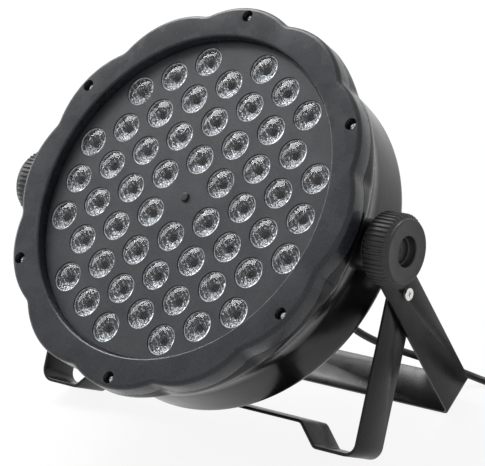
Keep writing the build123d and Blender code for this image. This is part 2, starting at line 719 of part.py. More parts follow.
with BuildPart() as display_window:
    with BuildSketch(HEAD.offset(REAR_FACE + 0.3)):
        with Locations((0, -42.0)):
            Rectangle(31.6, 15.6)
    extrude(amount=REAR_WALL - 0.3)
    with BuildSketch(HEAD.offset(WALL_IN)):
        with Locations((0, -42.0)):
            Rectangle(36.0, 20.0)
    extrude(amount=1.2)
save(display_window.part, "display_window")

with BuildPart() as microphone:
    with BuildSketch(HEAD.offset(PANEL_BOARD)):
        with Locations(MICROPHONE_AT):
            Circle(3.0)
    extrude(amount=-6.0)
save(microphone.part, "microphone")

# ---------------------------------------------------------------- sockets
PIN_CIRCLE = 4.2
for name, row in SOCKET_ROWS.items():
    with BuildPart() as socket:
        with BuildSketch(HEAD.offset(REAR_FACE)):
            with Locations((SOCKET_X, row)):
                RectangleRounded(26.0, 31.0, 2.5)
        extrude(amount=-2.0)
        with BuildSketch(HEAD.offset(REAR_FACE)):
            with Locations((SOCKET_X, row)):
                Circle(SOCKET_BARREL_R)
        extrude(amount=21.0)
        if name == "dmx_in_socket":
            with BuildSketch(HEAD.offset(REAR_FACE - 2.0)):
                with Locations((SOCKET_X, row)):
                    Circle(9.3)
            extrude(amount=15.0, mode=Mode.SUBTRACT)
            with BuildSketch(HEAD.offset(REAR_FACE + 13.0)):
                with Locations((SOCKET_X, row)):
                    with PolarLocations(PIN_CIRCLE, 3, start_angle=90):
                        Circle(1.2)
            extrude(amount=-13.0)
        else:
            with BuildSketch(HEAD.offset(REAR_FACE - 2.0)):
                with Locations((SOCKET_X, row)):
                    Circle(10.0)
                    Circle(8.9, mode=Mode.SUBTRACT)
                    with PolarLocations(PIN_CIRCLE, 3, start_angle=90):
                        Circle(1.35)
            extrude(amount=12.0, mode=Mode.SUBTRACT)
        with BuildSketch(HEAD.offset(REAR_FACE)):
            with Locations((SOCKET_X, row)):
                with Locations((9.5, 12.0), (-9.5, -12.0)):
                    Circle(1.6)
        extrude(amount=-2.0, mode=Mode.SUBTRACT)
    save(socket.part, name)

with BuildPart() as socket_screws:
    for row in SOCKET_ROWS.values():
        with BuildSketch(HEAD.offset(REAR_FACE - 2.0)):
            with Locations((SOCKET_X, row)):
                with Locations((9.5, 12.0), (-9.5, -12.0)):
                    Circle(2.7)
        extrude(amount=-1.6)
        with BuildSketch(HEAD.offset(REAR_FACE - 2.0)):
            with Locations((SOCKET_X, row)):
                with Locations((9.5, 12.0), (-9.5, -12.0)):
                    Circle(1.3)
        extrude(amount=6.5)
save(socket_screws.part, "socket_screws")

# ---------------------------------------------------------------- fuse holder
with BuildPart() as fuse_holder:
    with BuildSketch(HEAD.offset(REAR_FACE)):
        with Locations(FUSE_AT):
            Circle(8.0)
    extrude(amount=-2.0)
    with BuildSketch(HEAD.offset(REAR_FACE)):
        with Locations(FUSE_AT):
            Circle(6.0)
    extrude(amount=24.0)
    with BuildSketch(HEAD.offset(REAR_FACE - 2.0)):
        with Locations(FUSE_AT):
            Circle(6.4)
    extrude(amount=-4.0)
    with BuildSketch(HEAD.offset(REAR_FACE - 6.0)):
        with Locations(FUSE_AT):
            Rectangle(9.0, 1.6)
    extrude(amount=1.6, mode=Mode.SUBTRACT)
save(fuse_holder.part, "fuse_holder")

with BuildPart() as fuse_nut:
    with BuildSketch(HEAD.offset(WALL_IN)):
        with Locations(FUSE_AT):
            RegularPolygon(radius=8.6, side_count=6)
            Circle(6.1, mode=Mode.SUBTRACT)
    extrude(amount=2.6)
save(fuse_nut.part, "fuse_nut")

# ---------------------------------------------------------------- fan
FAN_BACK = WALL_IN
FAN_FRONT = FAN_BACK + FAN_DEPTH
with BuildPart() as fan_frame:
    with BuildSketch(HEAD.offset(FAN_BACK)):
        with Locations((0, FAN_CENTRE)):
            RectangleRounded(FAN_SIZE, FAN_SIZE, 3.0)
            Circle(FAN_BORE_R, mode=Mode.SUBTRACT)
            with GridLocations(FAN_HOLE_PITCH, FAN_HOLE_PITCH, 2, 2):
                Circle(1.7, mode=Mode.SUBTRACT)
    extrude(amount=FAN_DEPTH)
    with BuildSketch(HEAD.offset(FAN_FRONT)):
        with Locations((0, FAN_CENTRE)):
            Circle(FAN_HUB_R)
            with PolarLocations(FAN_HUB_R + 8.0, 3, start_angle=90):
                Rectangle(18.0, 3.0)
    extrude(amount=-1.6)
    with BuildSketch(HEAD.offset(FAN_FRONT - 1.6)):
        with Locations((0, FAN_CENTRE)):
            Circle(FAN_SHAFT_R)
    extrude(amount=-(FAN_DEPTH - 4.0))
save(fan_frame.part, "fan_frame")

with BuildPart() as fan_rotor:
    with BuildSketch(HEAD.offset(FAN_BACK + 1.0)):
        with Locations((0, FAN_CENTRE)):
            Circle(FAN_HUB_R)
    extrude(amount=FAN_DEPTH - 3.2)
    for blade in range(FAN_BLADES):
        turn = Rotation(0, 0, blade * 360 / FAN_BLADES)
        blade_seat = HEAD.offset(FAN_BACK + 7.0) * Pos(0, FAN_CENTRE) * turn
        blade_plane = Plane(blade_seat * Pos(FAN_HUB_R - 0.8, 0, 0) * Rotation(90, 0, 90))
        with BuildSketch(blade_plane):
            Rectangle(12.0, 1.3, rotation=32)
        extrude(amount=FAN_BORE_R - FAN_HUB_R - 1.2)
    with BuildSketch(HEAD.offset(FAN_FRONT)):
        with Locations((0, FAN_CENTRE)):
            Circle(FAN_SHAFT_R + FAN_SHAFT_CLEAR)
    extrude(amount=-(FAN_DEPTH - 2.0), mode=Mode.SUBTRACT)
save(fan_rotor.part, "fan_rotor")

with BuildPart() as fan_screws:
    with BuildSketch(HEAD.offset(REAR_FACE)):
        with Locations((0, FAN_CENTRE)):
            with GridLocations(FAN_HOLE_PITCH, FAN_HOLE_PITCH, 2, 2):
                Circle(3.0)
    extrude(amount=-1.8)
    with BuildSketch(HEAD.offset(REAR_FACE)):
        with Locations((0, FAN_CENTRE)):
            with GridLocations(FAN_HOLE_PITCH, FAN_HOLE_PITCH, 2, 2):
                Circle(1.5)
    extrude(amount=FAN_DEPTH + REAR_WALL - 2.0)
save(fan_screws.part, "fan_screws")

# ---------------------------------------------------------------- power boards
SUPPLY_AT = (52.0, 16.0)
SUPPLY_SIZE = (42.0, 50.0)
DRIVER_AT = (-56.0, 8.0)
DRIVER_SIZE = (40.0, 64.0)
BOARD_LIFT = 6.0
BOARD_SEAT = SHELF_TOP - BOARD_LIFT


with BuildPart() as board_posts:
    for at, size in ((SUPPLY_AT, SUPPLY_SIZE), (DRIVER_AT, DRIVER_SIZE)):
        with BuildSketch(HEAD.offset(SHELF_TOP)):
            with Locations(at):
                with GridLocations(size[0] - 8.0, size[1] - 8.0, 2, 2):
                    RegularPolygon(radius=2.8, side_count=6)
        extrude(amount=-BOARD_LIFT)
save(board_posts.part, "board_posts")

with BuildPart() as supply_board:
    with BuildSketch(HEAD.offset(BOARD_SEAT)):
        with Locations(SUPPLY_AT):
            Rectangle(*SUPPLY_SIZE)
    extrude(amount=-PCB)
save(supply_board.part, "supply_board")

SUPPLY_FACE = BOARD_SEAT - PCB
with BuildPart() as supply_transformer:
    with BuildSketch(HEAD.offset(SUPPLY_FACE)):
        with Locations((SUPPLY_AT[0] + 2.0, SUPPLY_AT[1] + 8.0)):
            RectangleRounded(20.0, 20.0, 1.0)
    extrude(amount=-16.0)
save(supply_transformer.part, "supply_transformer")

with BuildPart() as supply_capacitors:
    with BuildSketch(HEAD.offset(SUPPLY_FACE)):
        with Locations(SUPPLY_AT):
            with Locations((-12.0, -14.0), (10.0, -14.0)):
                Circle(6.5)
    extrude(amount=-18.0)
save(supply_capacitors.part, "supply_capacitors")

with BuildPart() as driver_board:
    with BuildSketch(HEAD.offset(BOARD_SEAT)):
        with Locations(DRIVER_AT):
            Rectangle(*DRIVER_SIZE)
    extrude(amount=-PCB)
    with BuildSketch(HEAD.offset(SUPPLY_FACE)):
        with Locations(DRIVER_AT):
            with GridLocations(12.0, 13.0, 2, 4):
                Rectangle(7.0, 7.0)
    extrude(amount=-3.2)
save(driver_board.part, "driver_board")

# ---------------------------------------------------------------- cable gland
GLAND_TIP = REAR_FACE - 9.5
with BuildPart() as cable_gland:
    with BuildSketch(HEAD.offset(REAR_FACE)):
        with Locations(GLAND_AT):
            RegularPolygon(radius=9.0, side_count=6)
    extrude(amount=-3.5)
    with BuildSketch(HEAD.offset(REAR_FACE - 3.5)):
        with Locations(GLAND_AT):
            Circle(7.2)
    extrude(amount=-6.0)
    fillet(
        cable_gland.edges().filter_by(GeomType.CIRCLE).sort_by(HEAD_AXIS)[0],
        radius=1.6,
    )
    with BuildSketch(HEAD.offset(REAR_FACE)):
        with Locations(GLAND_AT):
            Circle(6.0)
    extrude(amount=9.0)
save(cable_gland.part, "cable_gland")

with BuildPart() as gland_nut:
    with BuildSketch(HEAD.offset(WALL_IN)):
        with Locations(GLAND_AT):
            RegularPolygon(radius=9.0, side_count=6)
            Circle(6.1, mode=Mode.SUBTRACT)
    extrude(amount=3.4)
save(gland_nut.part, "gland_nut")

# ---------------------------------------------------------------- power cord
with BuildPart() as strain_relief:
    with BuildSketch(HEAD.offset(GLAND_TIP)):
        with Locations(GLAND_AT):
            Circle(4.6)
    with BuildSketch(HEAD.offset(RELIEF_TIP)):
        with Locations(GLAND_AT):
            Circle(CORD_R + 0.9)
    loft()
save(strain_relief.part, "strain_relief")

CORD_EXIT = head_point(GLAND_AT[0], GLAND_AT[1], RELIEF_TIP - RELIEF_GAP)
CORD_STRAIGHT = head_point(GLAND_AT[0], GLAND_AT[1], RELIEF_TIP - 12.0)
# Places of the lead from the strain relief to the coil: down behind the stand,
# over its rear bar and out along the floor.
CORD_ROUTE = [
    (CORD_EXIT.X, CORD_EXIT.Y, CORD_EXIT.Z),
    (CORD_STRAIGHT.X, CORD_STRAIGHT.Y, CORD_STRAIGHT.Z),
    (65.5, BAR_Y - 14.0, 39.6),
    (75.5, BAR_Y - 4.0, 30.0),
    (84.5, BAR_Y + 9.0, 20.5),
    (95.0, BAR_Y + 20.8, 11.5),
    (107.5, BAR_Y + 27.5, 4.3),
    (121.0, BAR_Y + 27.6, LAYER_LOW),
    (135.0, BAR_Y + 25.8, LAYER_LOW),
    (COIL_X, BAR_Y + 25.5, LAYER_LOW),
]
TAIL_ROUTE = [
    (COIL_X, BAR_Y + 25.5, LAYER_HIGH),
    (163.0, BAR_Y + 24.1, 6.4),
    (176.0, BAR_Y + 18.1, 6.7),
    (189.0, BAR_Y + 13.2, 6.9),
    (202.0, BAR_Y + 12.8, 6.9),
]


def bend_radii(route):
    """The largest tangent arc that the two runs at each corner leave room for."""
    radii = []
    for before, here, after in zip(route, route[1:], route[2:]):
        arriving = Vector(*here) - Vector(*before)
        leaving = Vector(*after) - Vector(*here)
        half_turn = math.radians(arriving.get_angle(leaving) / 2)
        radii.append(0.45 * min(arriving.length, leaving.length) / math.tan(half_turn))
    return radii


def cord_tube(route):
    """Round lead along straight runs that are joined by tangent arcs."""
    radii = bend_radii(route)
    print("bend radii", [round(radius, 1) for radius in radii])
    with BuildPart() as tube:
        with BuildLine() as path:
            FilletPolyline(*route, radius=radii)
        run = path.wires()[0]
        with BuildSketch(Plane(origin=run @ 0, z_dir=run % 0)):
            Circle(CORD_R)
        sweep(path=run)
    straight = math.pi * CORD_R**2 * run.length
    print("tube length", round(run.length, 1), "volume ratio", tube.part.volume / straight)
    return tube.part


save(cord_tube(CORD_ROUTE), "power_cord")
save(cord_tube(TAIL_ROUTE), "cord_tail")

with BuildPart() as cord_coil:
    with BuildSketch(Plane.XY):
        with Locations((COIL_X, BAR_Y + COIL_BEHIND)):
            Circle(COIL_OUT_R)
            Circle(COIL_IN_R, mode=Mode.SUBTRACT)
    extrude(amount=COIL_HEIGHT)
save(cord_coil.part, "cord_coil")

# ---------------------------------------------------------------- mains plug
PLUG_AIM = Vector(*TAIL_ROUTE[-1]) - Vector(*TAIL_ROUTE[-2])
PLUG_FACE = Plane(origin=TAIL_ROUTE[-1], x_dir=(-PLUG_AIM.Y, PLUG_AIM.X, 0), z_dir=PLUG_AIM)
with BuildPart() as plug_body:
    with BuildSketch(PLUG_FACE):
        Circle(4.0)
    with BuildSketch(PLUG_FACE.offset(9.0)):
        SlotOverall(18.0, 12.0)
    with BuildSketch(PLUG_FACE.offset(16.0)):
        SlotOverall(25.0, 13.6)
    loft(ruled=True)
    with BuildSketch(PLUG_FACE.offset(16.0)):
        SlotOverall(25.0, 13.6)
    extrude(amount=19.0)
save(plug_body.part, "plug_body")

with BuildPart() as plug_pins:
    with BuildSketch(PLUG_FACE.offset(35.0)):
        with GridLocations(18.6, 0, 2, 1):
            Circle(2.0)
    extrude(amount=19.0)
save(plug_pins.part, "plug_pins")
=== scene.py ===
import json
import math

import bmesh
import bpy
import numpy as np
from bpy.props import FloatProperty, FloatVectorProperty, IntProperty, PointerProperty
from bpy.types import Operator, Panel, PropertyGroup
from mathutils import Matrix, Vector


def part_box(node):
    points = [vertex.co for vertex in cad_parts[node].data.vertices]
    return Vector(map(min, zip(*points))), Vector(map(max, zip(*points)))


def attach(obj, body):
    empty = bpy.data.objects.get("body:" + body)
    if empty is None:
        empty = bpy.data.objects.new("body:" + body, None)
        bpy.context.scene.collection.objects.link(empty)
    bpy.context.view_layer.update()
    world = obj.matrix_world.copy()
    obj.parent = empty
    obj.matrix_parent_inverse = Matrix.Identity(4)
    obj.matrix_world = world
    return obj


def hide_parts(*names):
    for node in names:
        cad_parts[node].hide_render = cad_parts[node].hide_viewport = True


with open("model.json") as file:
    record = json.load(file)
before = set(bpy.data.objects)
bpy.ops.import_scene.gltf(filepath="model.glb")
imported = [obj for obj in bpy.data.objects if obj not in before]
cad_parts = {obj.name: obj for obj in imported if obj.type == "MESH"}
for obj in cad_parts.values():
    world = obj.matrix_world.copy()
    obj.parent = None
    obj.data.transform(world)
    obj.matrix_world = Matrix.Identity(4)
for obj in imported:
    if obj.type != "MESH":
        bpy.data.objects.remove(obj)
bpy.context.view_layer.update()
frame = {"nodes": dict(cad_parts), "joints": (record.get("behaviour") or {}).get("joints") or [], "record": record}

bl_info = {
    "name": "Par can light",
    "version": (1, 0, 0),
    "blender": (4, 5, 0),
    "location": "3D View > Sidebar > Par can",
    "description": "Builds the finishes, lenses, knobs, lead and stage of a flat LED par can",
    "category": "Object",
}

RECORD = frame["record"]
JOINTS = {joint["name"]: joint for joint in frame["joints"]}

# The lamp's own axes: u across, v up the face, w out of the lenses.
PIVOT = Vector(JOINTS["head_tilt"]["pos_m"])
LEANED_BACK = math.radians(43.9)
FACE_U = Vector((1.0, 0.0, 0.0))
FACE_V = Vector((0.0, math.sin(LEANED_BACK), math.cos(LEANED_BACK)))
FACE_W = Vector((0.0, -math.cos(LEANED_BACK), math.sin(LEANED_BACK)))


# ------------------------------------------------------------------ materials
NOISE_SPAN = (0.3, 0.7)      # most of a noise's values lie between these
BEAD = 0.0013                # width of the beads moulded into a lens and its cup


class Shader:
    """A node material that starts as one Principled BSDF and gets its detail in steps."""

    def __init__(self, name, colour, roughness, metallic=0.0, **sockets):
        self.material = bpy.data.materials.new(name)
        self.material.use_nodes = True
        self.nodes = self.material.node_tree.nodes
        self.links = self.material.node_tree.links
        self.surface = self.nodes["Principled BSDF"]
        self.surface.inputs["Base Color"].default_value = (*colour, 1.0)
        self.surface.inputs["Roughness"].default_value = roughness
        self.surface.inputs["Metallic"].default_value = metallic
        for socket, value in sockets.items():
            self.surface.inputs[socket.replace("_", " ")].default_value = value
        self.place = self.add("ShaderNodeTexCoord").outputs["Object"]
        self.bump = None

    def add(self, kind, **settings):
        node = self.nodes.new(kind)
        for key, value in settings.items():
            setattr(node, key, value)
        return node

    def join(self, source, target):
        self.links.new(source, target)

    def stretched(self, scale):
        """Object coordinates with a different scale on each axis."""
        mapping = self.add("ShaderNodeMapping")
        mapping.inputs["Scale"].default_value = scale
        self.join(self.place, mapping.inputs["Vector"])
        return mapping.outputs["Vector"]

    def noise(self, size, detail=3.0, roughness=0.5, place=None):
        """Noise whose lumps are about size metres across."""
        node = self.add("ShaderNodeTexNoise")
        node.inputs["Scale"].default_value = 1.0 / size
        node.inputs["Detail"].default_value = detail
        node.inputs["Roughness"].default_value = roughness
        self.join(place or self.place, node.inputs["Vector"])
        return node.outputs["Fac"]

    def cells(self, size, feature="F1", place=None):
        """Distance to the middle of cells about size metres across."""
        node = self.add("ShaderNodeTexVoronoi", feature=feature)
        node.inputs["Scale"].default_value = 1.0 / size
        self.join(place or self.place, node.inputs["Vector"])
        return node.outputs["Distance"]

    def spread(self, value, low, high, start=0.0, end=1.0):
        """value taken from low..high to start..end, without going past them."""
        node = self.add("ShaderNodeMapRange")
        ends = {"From Min": low, "From Max": high, "To Min": start, "To Max": end}
        for socket, number in ends.items():
            node.inputs[socket].default_value = number
        self.join(value, node.inputs["Value"])
        return node.outputs["Result"]

    def combine(self, first, second, operation="ADD"):
        """Two values, or a value and a number, put together by one sum."""
        node = self.add("ShaderNodeMath", operation=operation)
        for index, value in enumerate((first, second)):
            if isinstance(value, (int, float)):
                node.inputs[index].default_value = value
            else:
                self.join(value, node.inputs[index])
        return node.outputs["Value"]

    def tint(self, amount, colour):
        """Lets another colour show where amount is near one."""
        mix = self.add("ShaderNodeMix", data_type="RGBA")
        socket = self.surface.inputs["Base Color"]
        if socket.is_linked:
            self.join(socket.links[0].from_socket, mix.inputs["A"])
        else:
            mix.inputs["A"].default_value = socket.default_value
        mix.inputs["B"].default_value = (*colour, 1.0)
        self.join(amount, mix.inputs["Factor"])
        self.join(mix.outputs["Result"], socket)
        return self

    def roughen(self, value, low, high):
        """Roughness that runs from low to high with a noise."""
        self.join(self.spread(value, *NOISE_SPAN, low, high), self.surface.inputs["Roughness"])
        return self

    def relief(self, height, depth, strength=1.0):
        """Bump of a height from 0 to 1 that stands for depth metres."""
        node = self.add("ShaderNodeBump")
        node.inputs["Strength"].default_value = strength
        node.inputs["Distance"].default_value = depth
        self.join(height, node.inputs["Height"])
        if self.bump is not None:
            self.join(self.bump, node.inputs["Normal"])
        self.bump = node.outputs["Normal"]
        self.join(self.bump, self.surface.inputs["Normal"])
        return self


def powder_coat(name, colour, pale, roughness, grain, depth, gloss):
    """Fine pebbles, paler high spots, slow mottling and a slow change of gloss."""
    mottle, sheen = 0.03, 0.012
    coat = Shader(name, colour, roughness, Specular_IOR_Level=gloss)
    pebble = coat.noise(grain, 4.0, 0.65)
    coat.tint(coat.spread(coat.noise(grain * 1.6, 2.0), 0.45, 0.8, 0.0, 0.55), pale)
    coat.tint(coat.spread(coat.noise(mottle, 3.0), 0.5, 0.75, 0.0, 0.25), pale)
    coat.roughen(coat.noise(sheen, 4.0), roughness - 0.06, roughness + 0.07)
    coat.relief(pebble, depth)
    return coat.material


def clear_acrylic():
    """Clear moulded acrylic with a finely beaded face."""
    clear = Shader("beaded clear acrylic", (0.93, 0.95, 0.97), 0.02, Transmission_Weight=1.0, IOR=1.3)
    clear.relief(clear.cells(BEAD), 0.00008, 0.6)
    clear.relief(clear.noise(0.0005, 2.0), 0.00001)
    return clear.material


def frosted_edge_and_highlight():
    """The moulded edge of a lens: frosted acrylic, painted pale as a painted highlight of the light it catches, so
    it shows as a thin pale ring.
    """
    # Painted highlight: the pale base colour stands for the light caught round the edge; the frosting is real.
    edge = Shader("frosted acrylic edge with painted highlight", (0.62, 0.64, 0.66), 0.22)
    edge.tint(edge.spread(edge.noise(0.0016, 3.0), 0.45, 0.66), (0.16, 0.165, 0.17))
    edge.roughen(edge.noise(0.002), 0.16, 0.3)
    edge.relief(edge.noise(0.0005, 3.0), 0.00004)
    return edge.material


def cup_finish():
    """The cup under a lens: black, with painted highlights on its beads and a brighter painted highlight gathered
    on its lower right side, where the light falls, ruled streaks, and the well painted dark as shade.
    Reads the UV map "across", which runs from -1 to 1 over each cup."""
    cup = Shader("beaded reflector", (0.003, 0.003, 0.004), 0.2, Specular_IOR_Level=0.3)
    place = cup.add("ShaderNodeUVMap", uv_map="across").outputs["UV"]
    split = cup.add("ShaderNodeSeparateXYZ")
    cup.join(place, split.inputs["Vector"])
    across = cup.combine(split.outputs["X"], 0.95, "MULTIPLY")
    upward = cup.combine(split.outputs["Y"], 0.3, "MULTIPLY")
    lean = cup.combine(across, upward, "SUBTRACT")
    length = cup.add("ShaderNodeVectorMath", operation="LENGTH")
    cup.join(place, length.inputs[0])
    away = length.outputs["Value"]
    clump = cup.noise(0.0024, 3.0, 0.7)
    # Painted highlight: the lower right side of each cup, where the light falls, is where the near-white is
    # painted.
    highlight_side = cup.combine(cup.spread(lean, 0.1, 0.75), cup.spread(away, 0.4, 0.85), "MULTIPLY")
    painted_highlight = cup.spread(cup.combine(cup.combine(highlight_side, 0.62, "MULTIPLY"), clump), 0.86, 0.96)
    bead = cup.spread(cup.cells(BEAD), 0.34, 0.22)
    wave = cup.add("ShaderNodeTexWave", wave_type="BANDS", bands_direction="DIAGONAL")
    wave.inputs["Scale"].default_value = 1.6
    wave.inputs["Distortion"].default_value = 1.6
    cup.join(place, wave.inputs["Vector"])
    ruled = cup.spread(wave.outputs["Fac"], 0.80, 0.95)
    streak = cup.combine(ruled, cup.spread(cup.noise(0.001, 2.0), 0.45, 0.6), "MULTIPLY")
    cup.tint(cup.combine(streak, 0.5, "MULTIPLY"), (0.5, 0.52, 0.55))
    # Painted highlights: the middle of each bead is painted pale where the noise allows, for the light each bead
    # catches.
    painted_glint = cup.combine(bead, cup.spread(clump, 0.42, 0.62, 0.05, 0.85), "MULTIPLY")
    cup.tint(painted_glint, (0.62, 0.64, 0.67))
    # Painted highlight: near white on the lower right side of each cup.
    cup.tint(painted_highlight, (0.97, 0.98, 1.0))
    # Painted shade: the well and the dish just round it are kept near black, for the shade in the hole.
    cup.tint(cup.spread(away, 0.36, 0.28), (0.002, 0.002, 0.002))
    cup.relief(cup.cells(BEAD), 0.0002)
    return cup.material


def plain(name, colour, roughness, metallic=0.0):
    """A small part's material: paler flecks, a change of gloss and a fine grain."""
    pale = tuple(min(1.0, c * 1.6 + 0.01) for c in colour)
    shader = Shader(name, colour, roughness, metallic)
    shader.tint(shader.spread(shader.noise(0.006, 4.0), 0.4, 0.8, 0.0, 0.3), pale)
    shader.roughen(shader.noise(0.004), roughness - 0.06, roughness + 0.08)
    shader.relief(shader.noise(0.0008, 3.0), 0.00003)
    return shader.material


def gloss_black(colour):
    """Polished moulding: mould flow, faint dust and hair scratches, with a weak reflection."""
    shell = Shader("gloss black moulding", colour, 0.2, Specular_IOR_Level=0.24)
    shell.tint(shell.spread(shell.noise(0.05, 3.0), 0.5, 0.75, 0.0, 0.35), (0.010, 0.010, 0.011))
    dust = shell.spread(shell.noise(0.0004, 3.0), 0.66, 0.74, 0.0, 0.5)
    shell.tint(dust, (0.05, 0.05, 0.05))
    shell.roughen(shell.noise(0.03, 5.0, 0.6), 0.14, 0.30)
    scratches = shell.noise(0.0009, 2.0, 0.5, shell.stretched((1.0, 0.04, 0.04)))
    shell.relief(shell.spread(scratches, 0.62, 0.7), 0.00001)
    shell.relief(shell.noise(0.004, 2.0), 0.00004)
    return shell.material


def blackened_screw():
    """Blackened steel of the screw in the middle of the plate."""
    screw = Shader("blackened steel", (0.012, 0.012, 0.014), 0.4, 0.4)
    screw.tint(screw.spread(screw.noise(0.0008), 0.5, 0.8, 0.0, 0.3), (0.05, 0.05, 0.055))
    screw.relief(screw.noise(0.0004), 0.00002)
    return screw.material


# Slot: name, property that holds the colour, pale spots, roughness, grain, depth, gloss.
COATS = {
    "bezel_plastic": ("textured charcoal moulding", "rim", (0.056, 0.061, 0.069), 0.27, 0.0006, 0.00006, 0.30),
    "bracket_paint": ("satin black coat", "stand", (0.018, 0.018, 0.020), 0.30, 0.0005, 0.00003, 0.26),
    "plate_plastic": ("charcoal plate", "plate", (0.06, 0.065, 0.074), 0.38, 0.0005, 0.00006, 0.34),
}
# Slot: name, colour, roughness and, for a metal, one.
PLAINS = {
    "emitter": ("phosphor", (0.7, 0.6, 0.15), 0.5),
    "circuit_board": ("solder mask", (0.01, 0.06, 0.03), 0.35),
    "white_board": ("white solder mask", (0.7, 0.7, 0.7), 0.4),
    "bare_aluminium": ("machined aluminium", (0.6, 0.6, 0.61), 0.35, 1.0),
    "zinc_steel": ("bright zinc", (0.72, 0.72, 0.7), 0.25, 1.0),
    "brass": ("turned brass", (0.7, 0.5, 0.2), 0.25, 1.0),
    "knob_plastic": ("moulded black plastic", (0.010, 0.010, 0.011), 0.42),
    "black_plastic": ("black plastic", (0.008, 0.008, 0.009), 0.35),
    "button_rubber": ("rubber", (0.02, 0.02, 0.022), 0.6),
    "smoked_acrylic": ("smoked acrylic", (0.03, 0.004, 0.004), 0.1),
    "cord_pvc": ("lead sheath", (0.008, 0.008, 0.009), 0.45),
    "nylon": ("nylon", (0.012, 0.012, 0.013), 0.5),
    "capacitor_sleeve": ("shrink sleeve", (0.01, 0.012, 0.08), 0.3),
    "ferrite": ("taped core", (0.45, 0.33, 0.05), 0.5),
}
FINISHES = {}


def made_finish(slot):
    """A new material for one of the record's slots."""
    colours = bpy.context.scene.parcan_colours
    if slot in COATS:
        name, colour, *rest = COATS[slot]
        return powder_coat(name, getattr(colours, colour), *rest)
    if slot == "housing_plastic":
        return gloss_black(colours.housing)
    if slot == "lens_acrylic":
        return clear_acrylic()
    return plain(*PLAINS[slot])


def finish_of(slot):
    """The material of one of the record's slots, made once."""
    if slot not in FINISHES:
        FINISHES[slot] = made_finish(slot)
    return FINISHES[slot]


def wear(obj, material):
    """Puts one material on every face of a piece."""
    obj.data.materials.clear()
    obj.data.materials.append(material)
    return obj


# ------------------------------------------------------------------ surfaces
def in_lamp(u, v, w):
    """Points of the lamp's own axes, given as arrays in metres, in the shared frame."""
    spread = [np.asarray(part, float)[..., None] for part in np.broadcast_arrays(u, v, w)]
    across, up, out = (part * np.array(axis) for part, axis in zip(spread, (FACE_U, FACE_V, FACE_W)))
    return np.array(PIVOT) + across + up + out


def lamp_points(mesh):
    """The u, v and w of every point of a mesh, as three arrays."""
    points = np.empty(len(mesh.vertices) * 3, np.float32)
    mesh.vertices.foreach_get("co", points)
    away = points.reshape(-1, 3).astype(float) - np.array(PIVOT)
    return [away @ np.array(axis) for axis in (FACE_U, FACE_V, FACE_W)]


def lamp_extent(node):
    """Smallest and largest w of a carried part."""
    w = lamp_points(frame["nodes"][node].data)[2]
    return w.min(), w.max()


def grid_faces(rows, columns, wrap_rows, wrap_columns, start=0):
    """Index quads that join each grid point to the next row and the next column."""
    row = np.arange(rows if wrap_rows else rows - 1)[:, None]
    column = np.arange(columns if wrap_columns else columns - 1)[None, :]
    next_row, next_column = (row + 1) % rows, (column + 1) % columns
    corners = [
        here * columns + there
        for here, there in ((row, column), (next_row, column), (next_row, next_column), (row, next_column))
    ]
    size = (row.size, column.size)
    return start + np.stack([np.broadcast_to(c, size) for c in corners], axis=-1).reshape(-1, 4)


def settle_mesh(mesh, sharp, merge=1e-6):
    """Closes seams and poles, turns every face outwards and shades smoothly up to a sharp angle."""
    work = bmesh.new()
    work.from_mesh(mesh)
    bmesh.ops.remove_doubles(work, verts=work.verts, dist=merge)
    bmesh.ops.recalc_face_normals(work, faces=work.faces)
    work.to_mesh(mesh)
    work.free()
    mesh.shade_smooth()
    mesh.set_sharp_from_angle(angle=math.radians(sharp))


def linked(name, data):
    """A new object of the scene."""
    obj = bpy.data.objects.new(name, data)
    bpy.context.scene.collection.objects.link(obj)
    return obj


def surface(name, grids, wrap_rows=False, wrap_columns=False, sharp=32.0):
    """One object of one or more grids of points, each rows by columns by three."""
    grids = grids if isinstance(grids, list) else [grids]
    points, faces, start = [], [], 0
    for grid in grids:
        rows, columns = grid.shape[:2]
        points.append(grid.reshape(-1, 3))
        faces.append(grid_faces(rows, columns, wrap_rows, wrap_columns, start))
        start += rows * columns
    mesh = bpy.data.meshes.new(name)
    mesh.from_pydata(np.concatenate(points).tolist(), [], np.concatenate(faces).tolist())
    settle_mesh(mesh, sharp)
    return linked(name, mesh)


def baked(obj):
    """Applies the modifiers of obj to its mesh."""
    made = bpy.data.meshes.new_from_object(obj.evaluated_get(bpy.context.evaluated_depsgraph_get()))
    obj.modifiers.clear()
    obj.data = made
    return obj


def cut(obj, cutter, operation="DIFFERENCE"):
    """Cuts one closed piece out of another, or joins it on, and drops the cutter."""
    step = obj.modifiers.new(operation.lower(), "BOOLEAN")
    step.operation = operation
    step.solver = "EXACT"
    step.object = cutter
    bpy.context.view_layer.update()
    baked(obj)
    bpy.data.objects.remove(cutter)
    return obj


def pegs(name, places, low, high, sides=32):
    """Closed round pegs along the lamp's axis: each place's radius times a turn's cosine and sine
    about it, from low to high. Places are (u, v, radius)."""
    turn = np.linspace(0, 2 * np.pi, sides, endpoint=False)[None, :]
    grids = []
    for u, v, radius in places:
        ring = np.array([0.0, radius, radius, 0.0])[:, None]
        height = np.array([low, low, high, high])[:, None]
        grids.append(in_lamp(u + ring * np.cos(turn), v + ring * np.sin(turn), height + 0 * turn))
    return surface(name, grids, wrap_columns=True)


